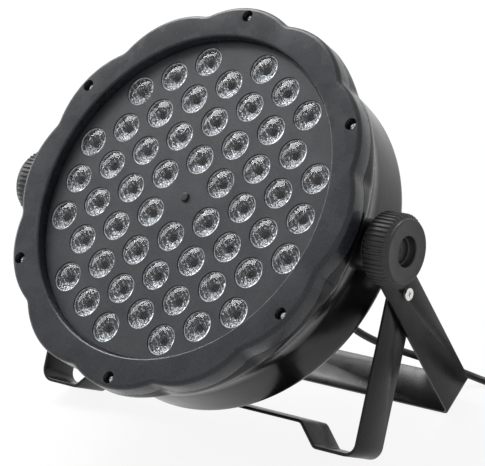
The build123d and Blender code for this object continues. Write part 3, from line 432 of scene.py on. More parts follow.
def eased(node, edge, segments=2):
    """A merged copy of a carried part whose hard edges are rounded by edge metres."""
    merge, flat, hard, sharp = 2e-6, math.radians(0.5), math.radians(30), math.radians(35)
    mesh = frame["nodes"][node].data.copy()
    mesh.name = node + "_eased"
    obj = linked(node + "_eased", mesh)
    work = bmesh.new()
    work.from_mesh(mesh)
    bmesh.ops.remove_doubles(work, verts=work.verts, dist=merge)
    bmesh.ops.dissolve_limit(work, angle_limit=flat, verts=work.verts, edges=work.edges)
    work.to_mesh(mesh)
    work.free()
    step = obj.modifiers.new("edge", "BEVEL")
    step.width = edge
    step.segments = segments
    step.limit_method = "ANGLE"
    step.angle_limit = hard
    step.harden_normals = False
    baked(obj)
    obj.data.shade_smooth()
    obj.data.set_sharp_from_angle(angle=sharp)
    return obj


def install(obj, body, slot, *nodes):
    """Puts a finished piece on its body, with its slot's material, in place of carried parts."""
    wear(obj, finish_of(slot))
    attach(obj, body)
    if nodes:
        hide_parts(*nodes)
    return obj


def arc(centre, radius, first, last, count):
    """Points of an arc in a section, as an array of (out, height)."""
    angle = np.radians(np.linspace(first, last, count))
    return np.stack([centre[0] + radius * np.cos(angle), centre[1] + radius * np.sin(angle)], axis=1)


# ------------------------------------------------------------------ properties
def metres(name, description, default):
    """A property that holds a length in metres."""
    return FloatProperty(name=name, description=description, default=default, unit="LENGTH")


def degrees(name, description, default):
    """A property that holds an angle, its default given in degrees."""
    return FloatProperty(
        name=name, description=description, default=math.radians(default), subtype="ANGLE", unit="ROTATION")


def paint(name, description, default):
    """A property that holds a colour."""
    return FloatVectorProperty(
        name=name, description=description, default=default, subtype="COLOR", min=0.0, max=1.0)


class Colours(PropertyGroup):
    rim: paint("Rim", "Of the scalloped rim", (0.017, 0.019, 0.023))
    plate: paint("Lens plate", "Of the plate between the lenses", (0.016, 0.018, 0.022))
    housing: paint("Housing", "Of the gloss housing", (0.0035, 0.0035, 0.0045))
    stand: paint("Stand", "Of the two brackets", (0.005, 0.005, 0.006))


class CameraView(PropertyGroup):
    azimuth: degrees("Azimuth", "Round the lamp, from its front", 41.397)
    elevation: degrees("Elevation", "Above the floor", 21.763)
    roll: degrees("Roll", "Turn about the line of sight", -7.359)
    distance: metres("Distance", "From the tilt axis", 1.2947)
    aside: metres("Aside", "Camera moved to its own right", 0.01789)
    above: metres("Above", "Camera moved to its own top", -0.00977)
    lens: FloatProperty(
        name="Focal length", description="On a frame 36 mm wide", default=173.02, unit="CAMERA")


class LeadSizes(PropertyGroup):
    diameter: metres("Diameter", "Outside the sheath", 0.0042)
    length: metres("Length", "From strain relief to plug", 1.13)
    coil_outer: metres("Outer turn", "Radius of the outermost turn's middle", 0.0293)
    coil_inner: metres("Inner turn", "Radius of the innermost turn's middle", 0.0166)


# ------------------------------------------------------------------ stage
FLOOR_HALF = 6.0             # half the floor's width, in metres
FLOOR_GREY = 0.92            # how much light the floor sends back
FLOOR_WHITE = 0.90           # share of plain white that the camera sees in it
ROOM_LIGHT = 0.30            # room's light on matt faces, where the camera sees one
SENSOR_WIDTH = 36.0
# Area lights: place, aim, size and power.
LAMPS = {
    "overhead": ((-1.05, 0.30, 1.48), (0.0, 0.0, 0.10), (1.0, 0.9), 34.0),
    "left": ((-1.5, -0.15, 0.75), (0.0, 0.0, 0.12), (0.4, 0.9), 6.0),
    "front_right": ((1.2, -1.2, 0.9), (0.0, 0.0, 0.12), (0.5, 0.5), 0.8),
    "edge": ((-0.5, 0.9, 1.5), (0.0, 0.0, 0.15), (0.25, 0.25), 4.0),
}


class PARCAN_OT_stage(Operator):
    """Sets the floor, the backdrop, the soft lights and the camera"""

    bl_idname = "parcan.stage"
    bl_label = "Stage"

    def execute(self, context):
        make_floor()
        make_world(context.scene)
        make_lamps()
        make_camera(context.scene, context.scene.parcan_camera)
        return {"FINISHED"}


def seen_or_reflected(nodes, links):
    """One where a ray comes from the camera, a reflection or a clear piece."""
    path = nodes.new("ShaderNodeLightPath")
    total = path.outputs["Is Camera Ray"]
    for kind in ("Is Glossy Ray", "Is Transmission Ray"):
        add = nodes.new("ShaderNodeMath")
        add.operation = "MAXIMUM"
        links.new(total, add.inputs[0])
        links.new(path.outputs[kind], add.inputs[1])
        total = add.outputs["Value"]
    return total


def make_floor():
    """A wide floor that the camera sees as nearly white, with the lamp's shadow on it."""
    corners = [(x * FLOOR_HALF, y * FLOOR_HALF, 0) for x, y in ((-1, -1), (1, -1), (1, 1), (-1, 1))]
    mesh = bpy.data.meshes.new("floor")
    mesh.from_pydata(corners, [], [(0, 1, 2, 3)])
    floor = linked("floor", mesh)
    material = bpy.data.materials.new("pale floor")
    material.use_nodes = True
    nodes, links = material.node_tree.nodes, material.node_tree.links
    nodes.clear()
    matt = nodes.new("ShaderNodeBsdfDiffuse")
    matt.inputs["Color"].default_value = (FLOOR_GREY, FLOOR_GREY, FLOOR_GREY, 1.0)
    white = nodes.new("ShaderNodeEmission")
    white.inputs["Color"].default_value = (1.0, 1.0, 1.0, 1.0)
    share = nodes.new("ShaderNodeMath")
    share.operation = "MULTIPLY"
    share.inputs[1].default_value = FLOOR_WHITE
    links.new(seen_or_reflected(nodes, links), share.inputs[0])
    mix = nodes.new("ShaderNodeMixShader")
    links.new(share.outputs["Value"], mix.inputs["Fac"])
    links.new(matt.outputs["BSDF"], mix.inputs[1])
    links.new(white.outputs["Emission"], mix.inputs[2])
    out = nodes.new("ShaderNodeOutputMaterial")
    links.new(mix.outputs["Shader"], out.inputs["Surface"])
    mesh.materials.append(material)


def make_world(scene):
    """A plain white room that lights matt faces less than it shows in reflections."""
    world = bpy.data.worlds.new("plain room")
    world.use_nodes = True
    scene.world = world
    nodes, links = world.node_tree.nodes, world.node_tree.links
    background = nodes["Background"]
    background.inputs["Color"].default_value = (1.0, 1.0, 1.0, 1.0)
    level = nodes.new("ShaderNodeMapRange")
    level.inputs["To Min"].default_value = ROOM_LIGHT
    level.inputs["To Max"].default_value = 1.0
    links.new(seen_or_reflected(nodes, links), level.inputs["Value"])
    links.new(level.outputs["Result"], background.inputs["Strength"])
    scene.view_settings.view_transform = "Standard"


def make_lamps():
    """One rectangular area light for each row of LAMPS."""
    for name, (place, aim, size, power) in LAMPS.items():
        data = bpy.data.lights.new(name, "AREA")
        data.shape = "RECTANGLE"
        data.size, data.size_y = size
        data.energy = power
        lamp = linked(name, data)
        lamp.location = place
        lamp.rotation_euler = (Vector(aim) - Vector(place)).to_track_quat("-Z", "Y").to_euler()


def make_camera(scene, view):
    """A camera that looks along a direction given by azimuth and elevation, turned by its roll."""
    a, e, r = view.azimuth, view.elevation, view.roll
    back = Vector((math.sin(a) * math.cos(e), -math.cos(a) * math.cos(e), math.sin(e)))
    right = Vector((math.cos(a), math.sin(a), 0.0))
    up = back.cross(right)
    own_right = right * math.cos(r) + up * math.sin(r)
    own_up = up * math.cos(r) - right * math.sin(r)
    data = bpy.data.cameras.new("camera")
    data.lens = view.lens
    data.sensor_width = SENSOR_WIDTH
    camera = linked("camera", data)
    place = PIVOT + back * view.distance + own_right * view.aside + own_up * view.above
    turn = Matrix((own_right, own_up, back)).transposed().to_4x4()
    camera.matrix_world = Matrix.Translation(place) @ turn
    scene.camera = camera


# ------------------------------------------------------------------ lead
LEAD_ROUTE = [
    (0.0600, 0.028231, 0.059015), (0.0600, 0.036878, 0.050694), (0.0655, 0.0454, 0.0396),
    (0.0755, 0.0554, 0.0300), (0.0845, 0.0684, 0.0205), (0.0950, 0.0802, 0.0115),
    (0.1075, 0.0869, 0.0043), (0.1210, 0.0870, 0.0021), (0.1350, 0.0852, 0.0021),
]
TAIL_ROUTE = [
    (0.1630, 0.0835, 0.0064), (0.1760, 0.0775, 0.0067), (0.1890, 0.0726, 0.0069), (0.2020, 0.0722, 0.0069),
]
COIL_MIDDLE = (0.1500, 0.1143)
LOWER_LAYER, UPPER_LAYER = 0.0021, 0.0063    # heights of the coil's two layers
RELIEF_AT = (0.060, -0.026)                  # where the lead leaves the rear panel, as u and v
# Along the plug: how far, half its width and half its height.
PLUG_TABLE = np.array([
    (0.0, 0.0034, 0.0034), (0.002, 0.0039, 0.0039), (0.009, 0.0088, 0.0059), (0.0155, 0.0122, 0.0067),
    (0.019, 0.0125, 0.0068), (0.0342, 0.0125, 0.0068), (0.0346, 0.0124, 0.0067), (0.0349, 0.0121, 0.0064),
    (0.035, 0.0114, 0.0058),
])


def coil_points(outer, inner, pitch):
    """Turns that run inwards on the floor, climb one diameter and run outwards on top.
    The radius falls by one pitch a turn and grows again by one pitch a turn."""
    turns = round((outer - inner) / pitch)
    pitch = (outer - inner) / turns
    steps = 14
    ring = np.arange(0, turns, 1 / steps)
    climb = np.arange(0, 1, 1 / steps)
    turn = np.concatenate([ring, turns + climb, turns + 1 + ring])
    radius = np.concatenate([outer - pitch * ring, np.full(len(climb), inner), inner + pitch * ring])
    rise = np.concatenate([np.zeros(len(ring)), climb, np.ones(len(ring))])
    angle = 2 * np.pi * (turn - 0.25)
    height = LOWER_LAYER + (UPPER_LAYER - LOWER_LAYER) * rise
    x = COIL_MIDDLE[0] + radius * np.cos(angle)
    y = COIL_MIDDLE[1] + radius * np.sin(angle)
    return np.stack([x, y, height], axis=1)


class PARCAN_OT_lead(Operator):
    """Lays the power lead from the strain relief over the floor, through its coil, to the plug"""

    bl_idname = "parcan.lead"
    bl_label = "Power lead"

    def execute(self, context):
        sizes = context.scene.parcan_lead
        coil = coil_points(sizes.coil_outer, sizes.coil_inner, sizes.diameter * 1.01)
        points = np.concatenate([LEAD_ROUTE, coil, TAIL_ROUTE])
        curve = bpy.data.curves.new("power_lead", "CURVE")
        curve.dimensions = "3D"
        spline = curve.splines.new("NURBS")
        spline.points.add(len(points) - 1)
        spline.points.foreach_set("co", np.column_stack([points, np.ones(len(points))]).ravel())
        spline.order_u = 3
        spline.use_endpoint_u = True
        spline.resolution_u = 6
        curve.bevel_depth = sizes.diameter / 2
        curve.bevel_resolution = 5
        curve.use_fill_caps = True
        lead = linked("power_lead", curve)
        curve.materials.append(finish_of("cord_pvc"))
        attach(lead, "stand")
        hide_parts("power_cord", "cord_coil", "cord_tail")
        return {"FINISHED"}


class PARCAN_OT_plug(Operator):
    """Makes the plug with its grip ribs, the tie round the coil and the ribbed strain relief"""

    bl_idname = "parcan.plug"
    bl_label = "Plug, tie and strain relief"

    def execute(self, context):
        install(plug_shape(), "stand", "black_plastic", "plug_body")
        install(tie_shape(context.scene.parcan_lead), "stand", "nylon")
        install(relief_shape(), "head", "cord_pvc", "strain_relief")
        return {"FINISHED"}


def oblong(turn, power):
    """Cosine and sine of a turn, each raised to a power with its sign kept, which squares a circle."""
    return [np.sign(f) * np.abs(f) ** power for f in (np.cos(turn), np.sin(turn))]


def plug_shape():
    """Rounded oblongs carried along the plug. Half width, half height and squareness follow tables
    over the length, and the grip's ribs are a sine of the length that fades at both ends."""
    sides, pitch, depth = 56, 0.0022, 0.0005
    first, last = np.array(TAIL_ROUTE[-1]), np.array(TAIL_ROUTE[-2])
    along = (first - last) / np.linalg.norm(first - last)
    side = np.array([-along[1], along[0], 0.0])
    up = np.array([0.0, 0.0, 1.0])
    place = np.concatenate([np.linspace(0.0, 0.0342, 90), [0.0346, 0.0349, 0.0350]])
    wide, tall = (np.interp(place, PLUG_TABLE[:, 0], PLUG_TABLE[:, part]) for part in (1, 2))
    square = np.interp(place, [0, 0.009, 0.018], [2.0, 2.5, 3.4])[:, None]
    grip = np.clip((place - 0.004) / 0.002, 0, 1) * np.clip((0.017 - place) / 0.002, 0, 1)
    notch = depth * grip * (0.5 - 0.5 * np.cos(2 * np.pi * place / pitch))
    across, rise = oblong(np.linspace(0, 2 * np.pi, sides, endpoint=False)[None, :], 2 / square)
    x = (wide - notch)[:, None] * across
    y = (tall - notch)[:, None] * rise
    body = first + place[:, None, None] * along + x[..., None] * side + y[..., None] * up
    ends = [np.broadcast_to(body[row].mean(axis=0), (1, sides, 3)) for row in (0, -1)]
    return surface("plug", np.concatenate([ends[0], body, ends[1]]), wrap_columns=True, sharp=40.0)


def tie_shape(sizes):
    """A flat band carried round the coil's section, which is a rounded oblong: the square roots of
    a turn's cosine and sine, times half the section's width and height."""
    middle_height, half_height, margin = 0.0044, 0.0042, 0.0027
    half_band, thick = 0.002, 0.0005
    heading = math.radians(215)
    across, rise = oblong(np.linspace(0, 2 * np.pi, 64, endpoint=False), 0.5)
    half = (sizes.coil_outer - sizes.coil_inner) / 2 + margin
    middle = (sizes.coil_outer + sizes.coil_inner) / 2
    out = middle + half * across
    height = middle_height + half_height * rise
    band = np.array([(-half_band, 0.0), (half_band, 0.0), (half_band, thick), (-half_band, thick)])
    ray = np.array([math.cos(heading), math.sin(heading), 0.0])
    tangent = np.array([-math.sin(heading), math.cos(heading), 0.0])
    up = np.array([0.0, 0.0, 1.0])
    inwards = np.stack([middle - out, middle_height - height], axis=1)
    inwards /= np.linalg.norm(inwards, axis=1)[:, None]
    radial = out[:, None] + inwards[:, :1] * band[None, :, 1]
    lift = height[:, None] + inwards[:, 1:] * band[None, :, 1]
    centre = np.array([*COIL_MIDDLE, 0.0])
    loop = centre + radial[..., None] * ray + band[None, :, :1] * tangent + lift[..., None] * up
    return surface("coil_tie", loop, wrap_rows=True, wrap_columns=True, sharp=40.0)


def relief_shape():
    """A cone turned about the lead's way out. Its radius falls evenly, less a clipped cosine of the
    length that cuts rings and leaves flexible ribs."""
    foot_radius, taper, rings, depth = 0.0046, 0.0016, 5, 0.0008
    tip, foot = lamp_extent("strain_relief")
    place = np.linspace(foot, tip, 70)
    share = (foot - place) / (foot - tip)
    groove = 0.5 - 0.5 * np.cos(2 * np.pi * rings * np.clip((share - 0.12) / 0.8, 0, 1))
    radius = foot_radius - taper * share - depth * np.clip(groove * 1.8 - 0.4, 0, 1)
    section = np.concatenate([[(0.0, foot)], np.stack([radius, place], axis=1), [(0.0, tip)]])
    return turned_at("ribbed_relief", [RELIEF_AT], section, 40)


# ------------------------------------------------------------------ lamp head
SCREW_HEAD = 0.0018          # height of the rim's screw heads
FAN_V = 0.018                # middle of the fan, up the face
FULL_SCALLOPS = 0.004        # depth behind the rim over which the scallops keep their size
SHOULDER = -0.006            # w at which the scallops have run out
FALL_POWER = 1.9             # how steeply they run out
BOSS_FOOT, BOSS_MEETS = 0.0985, 0.1065       # from the lamp's middle
BORE_RADIUS, BORE_DEPTH = 0.006, 0.012
WINDOW_V, WINDOW_HALF = -0.042, (0.016, 0.008)


class RimSizes(PropertyGroup):
    lobes: IntProperty(name="Scallops", description="Lobes round the rim", default=12, min=3)
    lobe: metres("Lobe radius", "To the top of a lobe", 0.1138)
    valley: metres("Valley radius", "Where two lobes' arcs would meet", 0.1092)
    valley_round: metres("Valley rounding", "Radius of the hollow between lobes", 0.010)
    recess: metres("Recess radius", "Round opening that holds the lens plate", 0.0955)
    ledge: metres("Ledge radius", "Inside edge of the ledge under the plate", 0.0928)
    ledge_thick: metres("Ledge thickness", "Of the ledge under the plate", 0.0026)
    outer_round: metres("Outer rounding", "Radius of the rim's outer edge", 0.0025)
    inner_round: metres("Inner rounding", "Radius of the rim's inner edge", 0.0012)
    screw_circle: metres("Screw circle", "Radius that the rim's screws lie on", 0.1082)
    screw_recess: metres("Screw recess", "Radius of each screw's pocket", 0.0034)


def scalloped(sizes, per_lobe):
    """The lobed outline and its outward direction, as arrays (points, 2).
    Each lobe is an arc whose centre lies on the lobe's own line. Neighbouring arcs meet in a hollow arc
    that touches both. Samples lie closer together near the hollows."""
    half = math.pi / sizes.lobes
    corner = np.array([sizes.valley * math.cos(half), sizes.valley * math.sin(half)])
    centre = (sizes.lobe**2 - corner @ corner) / (2 * (sizes.lobe - corner[0]))
    radius = sizes.lobe - centre
    both = radius + sizes.valley_round
    hollow = centre * math.cos(half) + math.sqrt(both**2 - (centre * math.sin(half)) ** 2)
    touch = np.array([hollow * math.cos(half) - centre, hollow * math.sin(half)]) * radius / both
    limit = math.atan2(touch[1], touch[0] + centre)
    step = np.linspace(-1, 1, per_lobe, endpoint=False)
    turn = half * (0.5 * step + 0.5 * np.sin(np.pi * step / 2))
    from_hollow = half - np.abs(turn)
    on_lobe = centre * np.cos(turn) + np.sqrt(radius**2 - (centre * np.sin(turn)) ** 2)
    inside = np.maximum(sizes.valley_round**2 - (hollow * np.sin(from_hollow)) ** 2, 0)
    on_hollow = hollow * np.cos(from_hollow) - np.sqrt(inside)
    reach = np.where(np.abs(turn) > limit, on_hollow, on_lobe)
    point = np.stack([reach * np.cos(turn), reach * np.sin(turn)], axis=1)
    away = point - np.array([centre, 0.0])
    side = np.sign(turn)
    pit = np.stack([hollow * np.cos(half) + 0 * turn, side * hollow * math.sin(half)], axis=1)
    normal = np.where((np.abs(turn) > limit)[:, None], pit - point, away)
    normal /= np.linalg.norm(normal, axis=1)[:, None]
    lobe = 2 * half * np.arange(sizes.lobes)[:, None]
    turned = []
    for flat in (point, normal):
        x = flat[:, 0] * np.cos(lobe) - flat[:, 1] * np.sin(lobe)
        y = flat[:, 0] * np.sin(lobe) + flat[:, 1] * np.cos(lobe)
        turned.append(np.stack([x.ravel(), y.ravel()], axis=1))
    return turned


def rim_points(sizes, back, front):
    """The rim's section carried round its outline. The inside follows a circle, so its points are the
    section's radius times each direction. The outside follows the scalloped outline, moved along that
    outline's own outward direction by the section's inset, with arcs at the section's corners."""
    edge, outward = scalloped(sizes, 60)
    compass = edge / np.linalg.norm(edge, axis=1)[:, None]
    soft = 0.0003
    ledge_top = back + sizes.ledge_thick
    lip = sizes.inner_round
    inner = np.concatenate([
        [(sizes.ledge, back)],
        arc((sizes.ledge + soft, ledge_top - soft), soft, 180, 90, 3),
        [(sizes.recess, ledge_top)],
        arc((sizes.recess + lip, front - lip), lip, 180, 90, 14),
    ])
    outer = np.concatenate([
        arc((-sizes.outer_round, front - sizes.outer_round), sizes.outer_round, 90, 0, 18),
        arc((-soft, back + soft), soft, 0, -90, 3),
    ])
    flat_inner = compass[:, None, :] * inner[None, :, :1]
    flat_outer = edge[:, None, :] + outward[:, None, :] * outer[None, :, :1]
    flat = np.concatenate([flat_inner, flat_outer], axis=1)
    height = np.concatenate([inner[:, 1], outer[:, 1]])[None, :]
    return in_lamp(flat[..., 0], flat[..., 1], height)


class PARCAN_OT_rim(Operator):
    """Makes the scalloped front rim with its rounded section and screw pockets"""

    bl_idname = "parcan.rim"
    bl_label = "Scalloped rim"

    def execute(self, context):
        sizes = context.scene.parcan_rim
        back, front = lamp_extent("front_bezel")
        points = rim_points(sizes, back, front)
        rim = surface("rim", points, wrap_rows=True, wrap_columns=True, sharp=40.0)
        circle = sizes.screw_circle
        places = [
            (circle * math.cos(a), circle * math.sin(a), sizes.screw_recess)
            for a in np.radians(30 + 60 * np.arange(6))
        ]
        seat = lamp_extent("bezel_screws")[1] - SCREW_HEAD
        cut(rim, pegs("screw_pockets", places, seat, front + 0.01))
        rim.data.set_sharp_from_angle(angle=math.radians(40))
        install(rim, "head", "bezel_plastic", "front_bezel")
        return {"FINISHED"}


class HousingSizes(PropertyGroup):
    wall: metres("Wall", "Thickness of the wall and the rear panel", 0.003)
    side: metres("Side radius", "Where the scoops run out", 0.1043)
    rear: metres("Rear radius", "At the rear rim", 0.1029)
    rear_round: metres("Rear rounding", "Radius of the rear rim", 0.007)
    melt: metres("Crease softness", "How far the scoops melt into the round wall", 0.0022)
    boss: metres("Boss radius", "Of the two pivot bosses", 0.014)


def softer_of(first, second, melt):
    """The smaller of two lengths, with the crease between them melted over a distance."""
    share = np.clip(0.5 + 0.5 * (second - first) / melt, 0, 1)
    return second * (1 - share) + first * share - melt * share * (1 - share)


def rear_openings():
    """Round openings of the rear panel as (u, v, radius)."""
    holes = []
    for reach, count in ((0.008, 6), (0.0155, 12), (0.023, 18)):
        turn = 2 * np.pi * np.arange(count) / count
        holes += [(reach * math.cos(t), FAN_V + reach * math.sin(t), 0.0022) for t in turn]
    holes += [(x, FAN_V + y, 0.0017) for x in (-0.025, 0.025) for y in (-0.025, 0.025)]
    holes += [(x, -0.064, 0.0038) for x in (-0.021, -0.007, 0.007, 0.021)]
    holes += [(-0.060, v, 0.012) for v in (0.024, -0.016)]
    holes += [(0.036, -0.032, 0.0062), (0.060, -0.026, 0.0062), (0.024, -0.044, 0.001)]
    return holes


def housing_points(rim, sizes, back, front):
    """A wall whose radius is the smaller of two, with the crease between them melted: the scalloped
    outline's, and that of a round profile. The profile falls from the lobe radius to the side radius
    as a power of the height above the shoulder, and from there evenly to the rear radius. An arc
    turns it into the rear panel, and the inside is round."""
    edge = scalloped(rim, 48)[0]
    compass = edge / np.linalg.norm(edge, axis=1)[:, None]
    reach = np.linalg.norm(edge, axis=1)[:, None]
    fall = np.linspace(0, 1, 26)[1:]
    height = np.concatenate([
        np.linspace(front, front - FULL_SCALLOPS, 3),
        front - FULL_SCALLOPS + fall * (SHOULDER - front + FULL_SCALLOPS),
        np.linspace(SHOULDER, back + sizes.rear_round, 8)[1:],
    ])
    above = np.clip((height - SHOULDER) / (front - FULL_SCALLOPS - SHOULDER), 0, 1)
    below = SHOULDER - back - sizes.rear_round
    profile = np.where(
        height > SHOULDER,
        sizes.side + (rim.lobe - sizes.side) * above**FALL_POWER,
        sizes.side + (sizes.rear - sizes.side) * (SHOULDER - height) / below,
    )
    wall = softer_of(reach + 0 * profile, profile[None, :] + 0 * reach, sizes.melt)
    wall[:, :2] = reach
    corner = (sizes.rear - sizes.rear_round, back + sizes.rear_round)
    rounded = arc(corner, sizes.rear_round, 0, -90, 10)[1:]
    inner = np.array([
        (0.0, back), (0.0, back + sizes.wall), (0.0968, back + sizes.wall), (0.0998, back + 0.006),
        (0.0998, -0.0026), (0.086, -0.0026), (0.086, 0.0024), (0.1012, 0.0024), (0.1022, front),
    ])    # up the inside, over the ledge that carries the light board
    tail = np.concatenate([rounded, inner])
    out = np.concatenate([wall, np.broadcast_to(tail[:, 0], (len(reach), len(tail)))], axis=1)
    up = np.concatenate([height, tail[:, 1]])[None, :]
    return in_lamp(out * compass[:, :1], out * compass[:, 1:], up)


class PARCAN_OT_housing(Operator):
    """Makes the housing, whose scallops run back into a round wall, with its bosses and openings"""

    bl_idname = "parcan.housing"
    bl_label = "Housing"

    def execute(self, context):
        rim, sizes = context.scene.parcan_rim, context.scene.parcan_housing
        back, front = lamp_extent("rear_housing")
        points = housing_points(rim, sizes, back, front)
        body = surface("housing", points, wrap_rows=True, wrap_columns=True, sharp=40.0)
        for side in (1, -1):
            cut(body, boss_of(side, sizes.boss), "UNION")
        cut(body, bores_of())
        low, high = back - 0.01, back + sizes.wall + 0.001
        cut(body, pegs("panel_holes", rear_openings(), low, high))
        cut(body, window_block(low, high))
        body.data.set_sharp_from_angle(angle=math.radians(38))
        install(body, "head", "housing_plastic", "rear_housing")
        return {"FINISHED"}


def turned_across(name, sides, section, count=64):
    """Pieces turned about the tilt axis: the radius times a turn's cosine and sine, at each distance
    from the lamp's middle. The section gives (distance, radius)."""
    turn = np.linspace(0, 2 * np.pi, count, endpoint=False)[None, :]
    along, radius = (section[:, part][:, None] for part in (0, 1))
    grids = []
    for side in sides:
        y = PIVOT.y + radius * np.cos(turn)
        z = PIVOT.z + radius * np.sin(turn)
        grids.append(np.stack([side * along + 0 * turn, y, z], axis=-1))
    return surface(name, grids, wrap_columns=True)


def boss_of(side, radius):
    """A pivot boss: a drum whose foot flares into the wall as a parabola and whose end is eased."""
    spread, ease = 0.005, 0.0006
    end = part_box("pivot_inserts")[1].x
    flare = radius + spread * np.linspace(1, 0, 8) ** 2
    foot = np.linspace(BOSS_FOOT, BOSS_MEETS, 8)
    section = np.concatenate([
        [(BOSS_FOOT, 0.0)], np.stack([foot, flare], axis=1),
        arc((end - ease, radius - ease), ease, 90, 0, 4), [(end, 0.0)],
    ])
    return turned_across("boss", [side], section)


def bores_of():
    """The two bores that hold the threaded inserts."""
    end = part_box("pivot_inserts")[1].x
    floor, past = end - BORE_DEPTH, end + 0.01
    section = np.array([(floor, 0.0), (floor, BORE_RADIUS), (past, BORE_RADIUS), (past, 0.0)])
    return turned_across("bores", [1, -1], section)


def window_block(low, high):
    """The block that the display window's opening is cut with."""
    half_u, half_v = WINDOW_HALF
    u = np.array([0, half_u, half_u, 0])[:, None] * np.array([1, -1, -1, 1])[None, :]
    v = WINDOW_V + np.array([0, half_v, half_v, 0])[:, None] * np.array([1, 1, -1, -1])[None, :]
    w = np.array([low, low, high, high])[:, None] + 0 * u
    return surface("window_block", in_lamp(u, v, w), wrap_columns=True)


# ------------------------------------------------------------------ lenses
CAP_EDGE = 0.0008            # thickness of the clear cap at its edge
CUP_BELOW = 0.0012           # top of the cup below the edge of the lens
CUP_DEPTH = 0.0014           # from the cup's top to the mouth of its well
LENS_SIDES = 40


class LensSizes(PropertyGroup):
    pitch: metres("Pitch", "Between neighbouring lenses", 0.023)
    rings: IntProperty(name="Rings", description="Lens rings round the bare middle", default=4, min=1)
    radius: metres("Radius", "Of a lens where it shows", 0.0087)
    sunk: metres("Sunk", "Edge of a lens below the face of the plate", 0.0009)
    dome: metres("Dome", "Crown of a lens above its edge", 0.0016)
    lip: metres("Edge radius", "Of the round moulded edge of a lens", 0.0003)
    well: metres("Well radius", "Of the dark well in the middle of a lens", 0.0021)


def lens_middles(sizes):
    """Middles of a six-sided lattice of lenses, without its middle and its corners."""
    steps = np.arange(-sizes.rings, sizes.rings + 1)
    q, r = np.meshgrid(steps, steps, indexing="ij")
    ring = np.maximum.reduce([abs(q), abs(r), abs(q + r)])
    corner = (ring == sizes.rings) & ((q == 0) | (r == 0) | (q + r == 0))
    kept = (ring > 0) & (ring <= sizes.rings) & ~corner
    across = sizes.pitch * q[kept] * math.cos(math.radians(30))
    return np.stack([across, sizes.pitch * (r[kept] + q[kept] / 2)], axis=1)


def turned_at(name, middles, section, count, sharp=40.0):
    """One turned shape at each middle: the section's radius times a turn's cosine and sine, at the
    section's w. The section gives (radius, w)."""
    turn = np.linspace(0, 2 * np.pi, count, endpoint=False)[None, :]
    radius, height = (section[:, part][:, None] for part in (0, 1))
    across, up = radius * np.cos(turn), radius * np.sin(turn)
    grids = [in_lamp(u + across, v + up, height + 0 * turn) for u, v in middles]
    return surface(name, grids, wrap_columns=True, sharp=sharp)


class PARCAN_OT_lenses(Operator):
    """Makes the lenses, each a clear cap with a moulded edge painted pale as a painted highlight, over a beaded
    cup whose well is painted dark as shade.
    A cap's height falls from its crown as the square of the radius, its edge is an arc, and the cup
    is a straight cone down to its well"""

    bl_idname = "parcan.lenses"
    bl_label = "Lenses"

    def execute(self, context):
        sizes = context.scene.parcan_lens
        face = lamp_extent("lens_plate")[1]
        middles = lens_middles(sizes)
        edge = face - sizes.sunk
        inside = sizes.radius - 2 * sizes.lip
        reach = np.linspace(0, 1, 12)
        crown = np.stack([inside * reach, edge + sizes.dome * (1 - reach**2)], axis=1)
        under = np.array([(inside, edge - CAP_EDGE), (0.0, edge - CAP_EDGE + sizes.dome * 0.4)])
        caps = turned_at("lens_caps", middles, np.concatenate([crown, under]), LENS_SIDES)
        install(caps, "head", "lens_acrylic", "lenses")
        caps.visible_shadow = False
        seat = edge - CUP_BELOW
        ring = arc((sizes.radius - sizes.lip, edge), sizes.lip, 180, -140, 11)
        foot = np.array([(sizes.radius - 1.5 * sizes.lip, seat), (inside, seat)])
        section = np.concatenate([ring, foot])
        rims = turned_at("lens_edges", middles, np.concatenate([section, section[:1]]), LENS_SIDES)
        wear(rims, frosted_edge_and_highlight())
        bowl = np.linspace(1, 0, 9)
        mouth = inside - 0.0001 - sizes.well
        dish = np.stack([sizes.well + mouth * bowl, seat - CUP_DEPTH * (1 - bowl)], axis=1)
        under = np.array([
            (sizes.well - 0.0002, seat - 0.0020), (sizes.well - 0.0003, seat - 0.006), (0.0, seat - 0.006),
            (0.0, seat - 0.007), (sizes.well + 0.001, seat - 0.007), (sizes.radius, seat - 0.001),
        ])    # down the well and back up the outside of the cup
        cups = turned_at("lens_cups", middles, np.concatenate([dish, under, dish[:1]]), LENS_SIDES)
        map_across(cups, middles, sizes.radius)
        wear(cups, cup_finish())
        for piece in (rims, cups):
            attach(piece, "head")
        return {"FINISHED"}


def map_across(obj, middles, radius):
    """A UV map that gives each point's place in its own lens, from -1 to 1 across and up."""
    mesh = obj.data
    flat = np.stack(lamp_points(mesh)[:2], axis=1)
    nearest = np.argmin(np.linalg.norm(flat[:, None, :] - middles[None, :, :], axis=2), axis=1)
    local = (flat - middles[nearest]) / radius
    corners = np.empty(len(mesh.loops), np.int32)
    mesh.loops.foreach_get("vertex_index", corners)
    mesh.uv_layers.new(name="across").data.foreach_set("uv", local[corners].astype(np.float32).ravel())


# ------------------------------------------------------------------ knobs
class KnobSizes(PropertyGroup):
    ribs: IntProperty(name="Ribs", description="Grip ribs round a knob", default=44, min=6)
    rib_depth: metres("Rib depth", "From crest to groove", 0.0010)
    crest: FloatProperty(
        name="Crest share", description="Share of the pitch that a rib takes", default=0.34, subtype="FACTOR")
    shoulder: metres("Shoulder", "From the ribs in to the smooth disc", 0.0024)
    recess: metres("Recess radius", "Of the round pocket in the face", 0.0083)


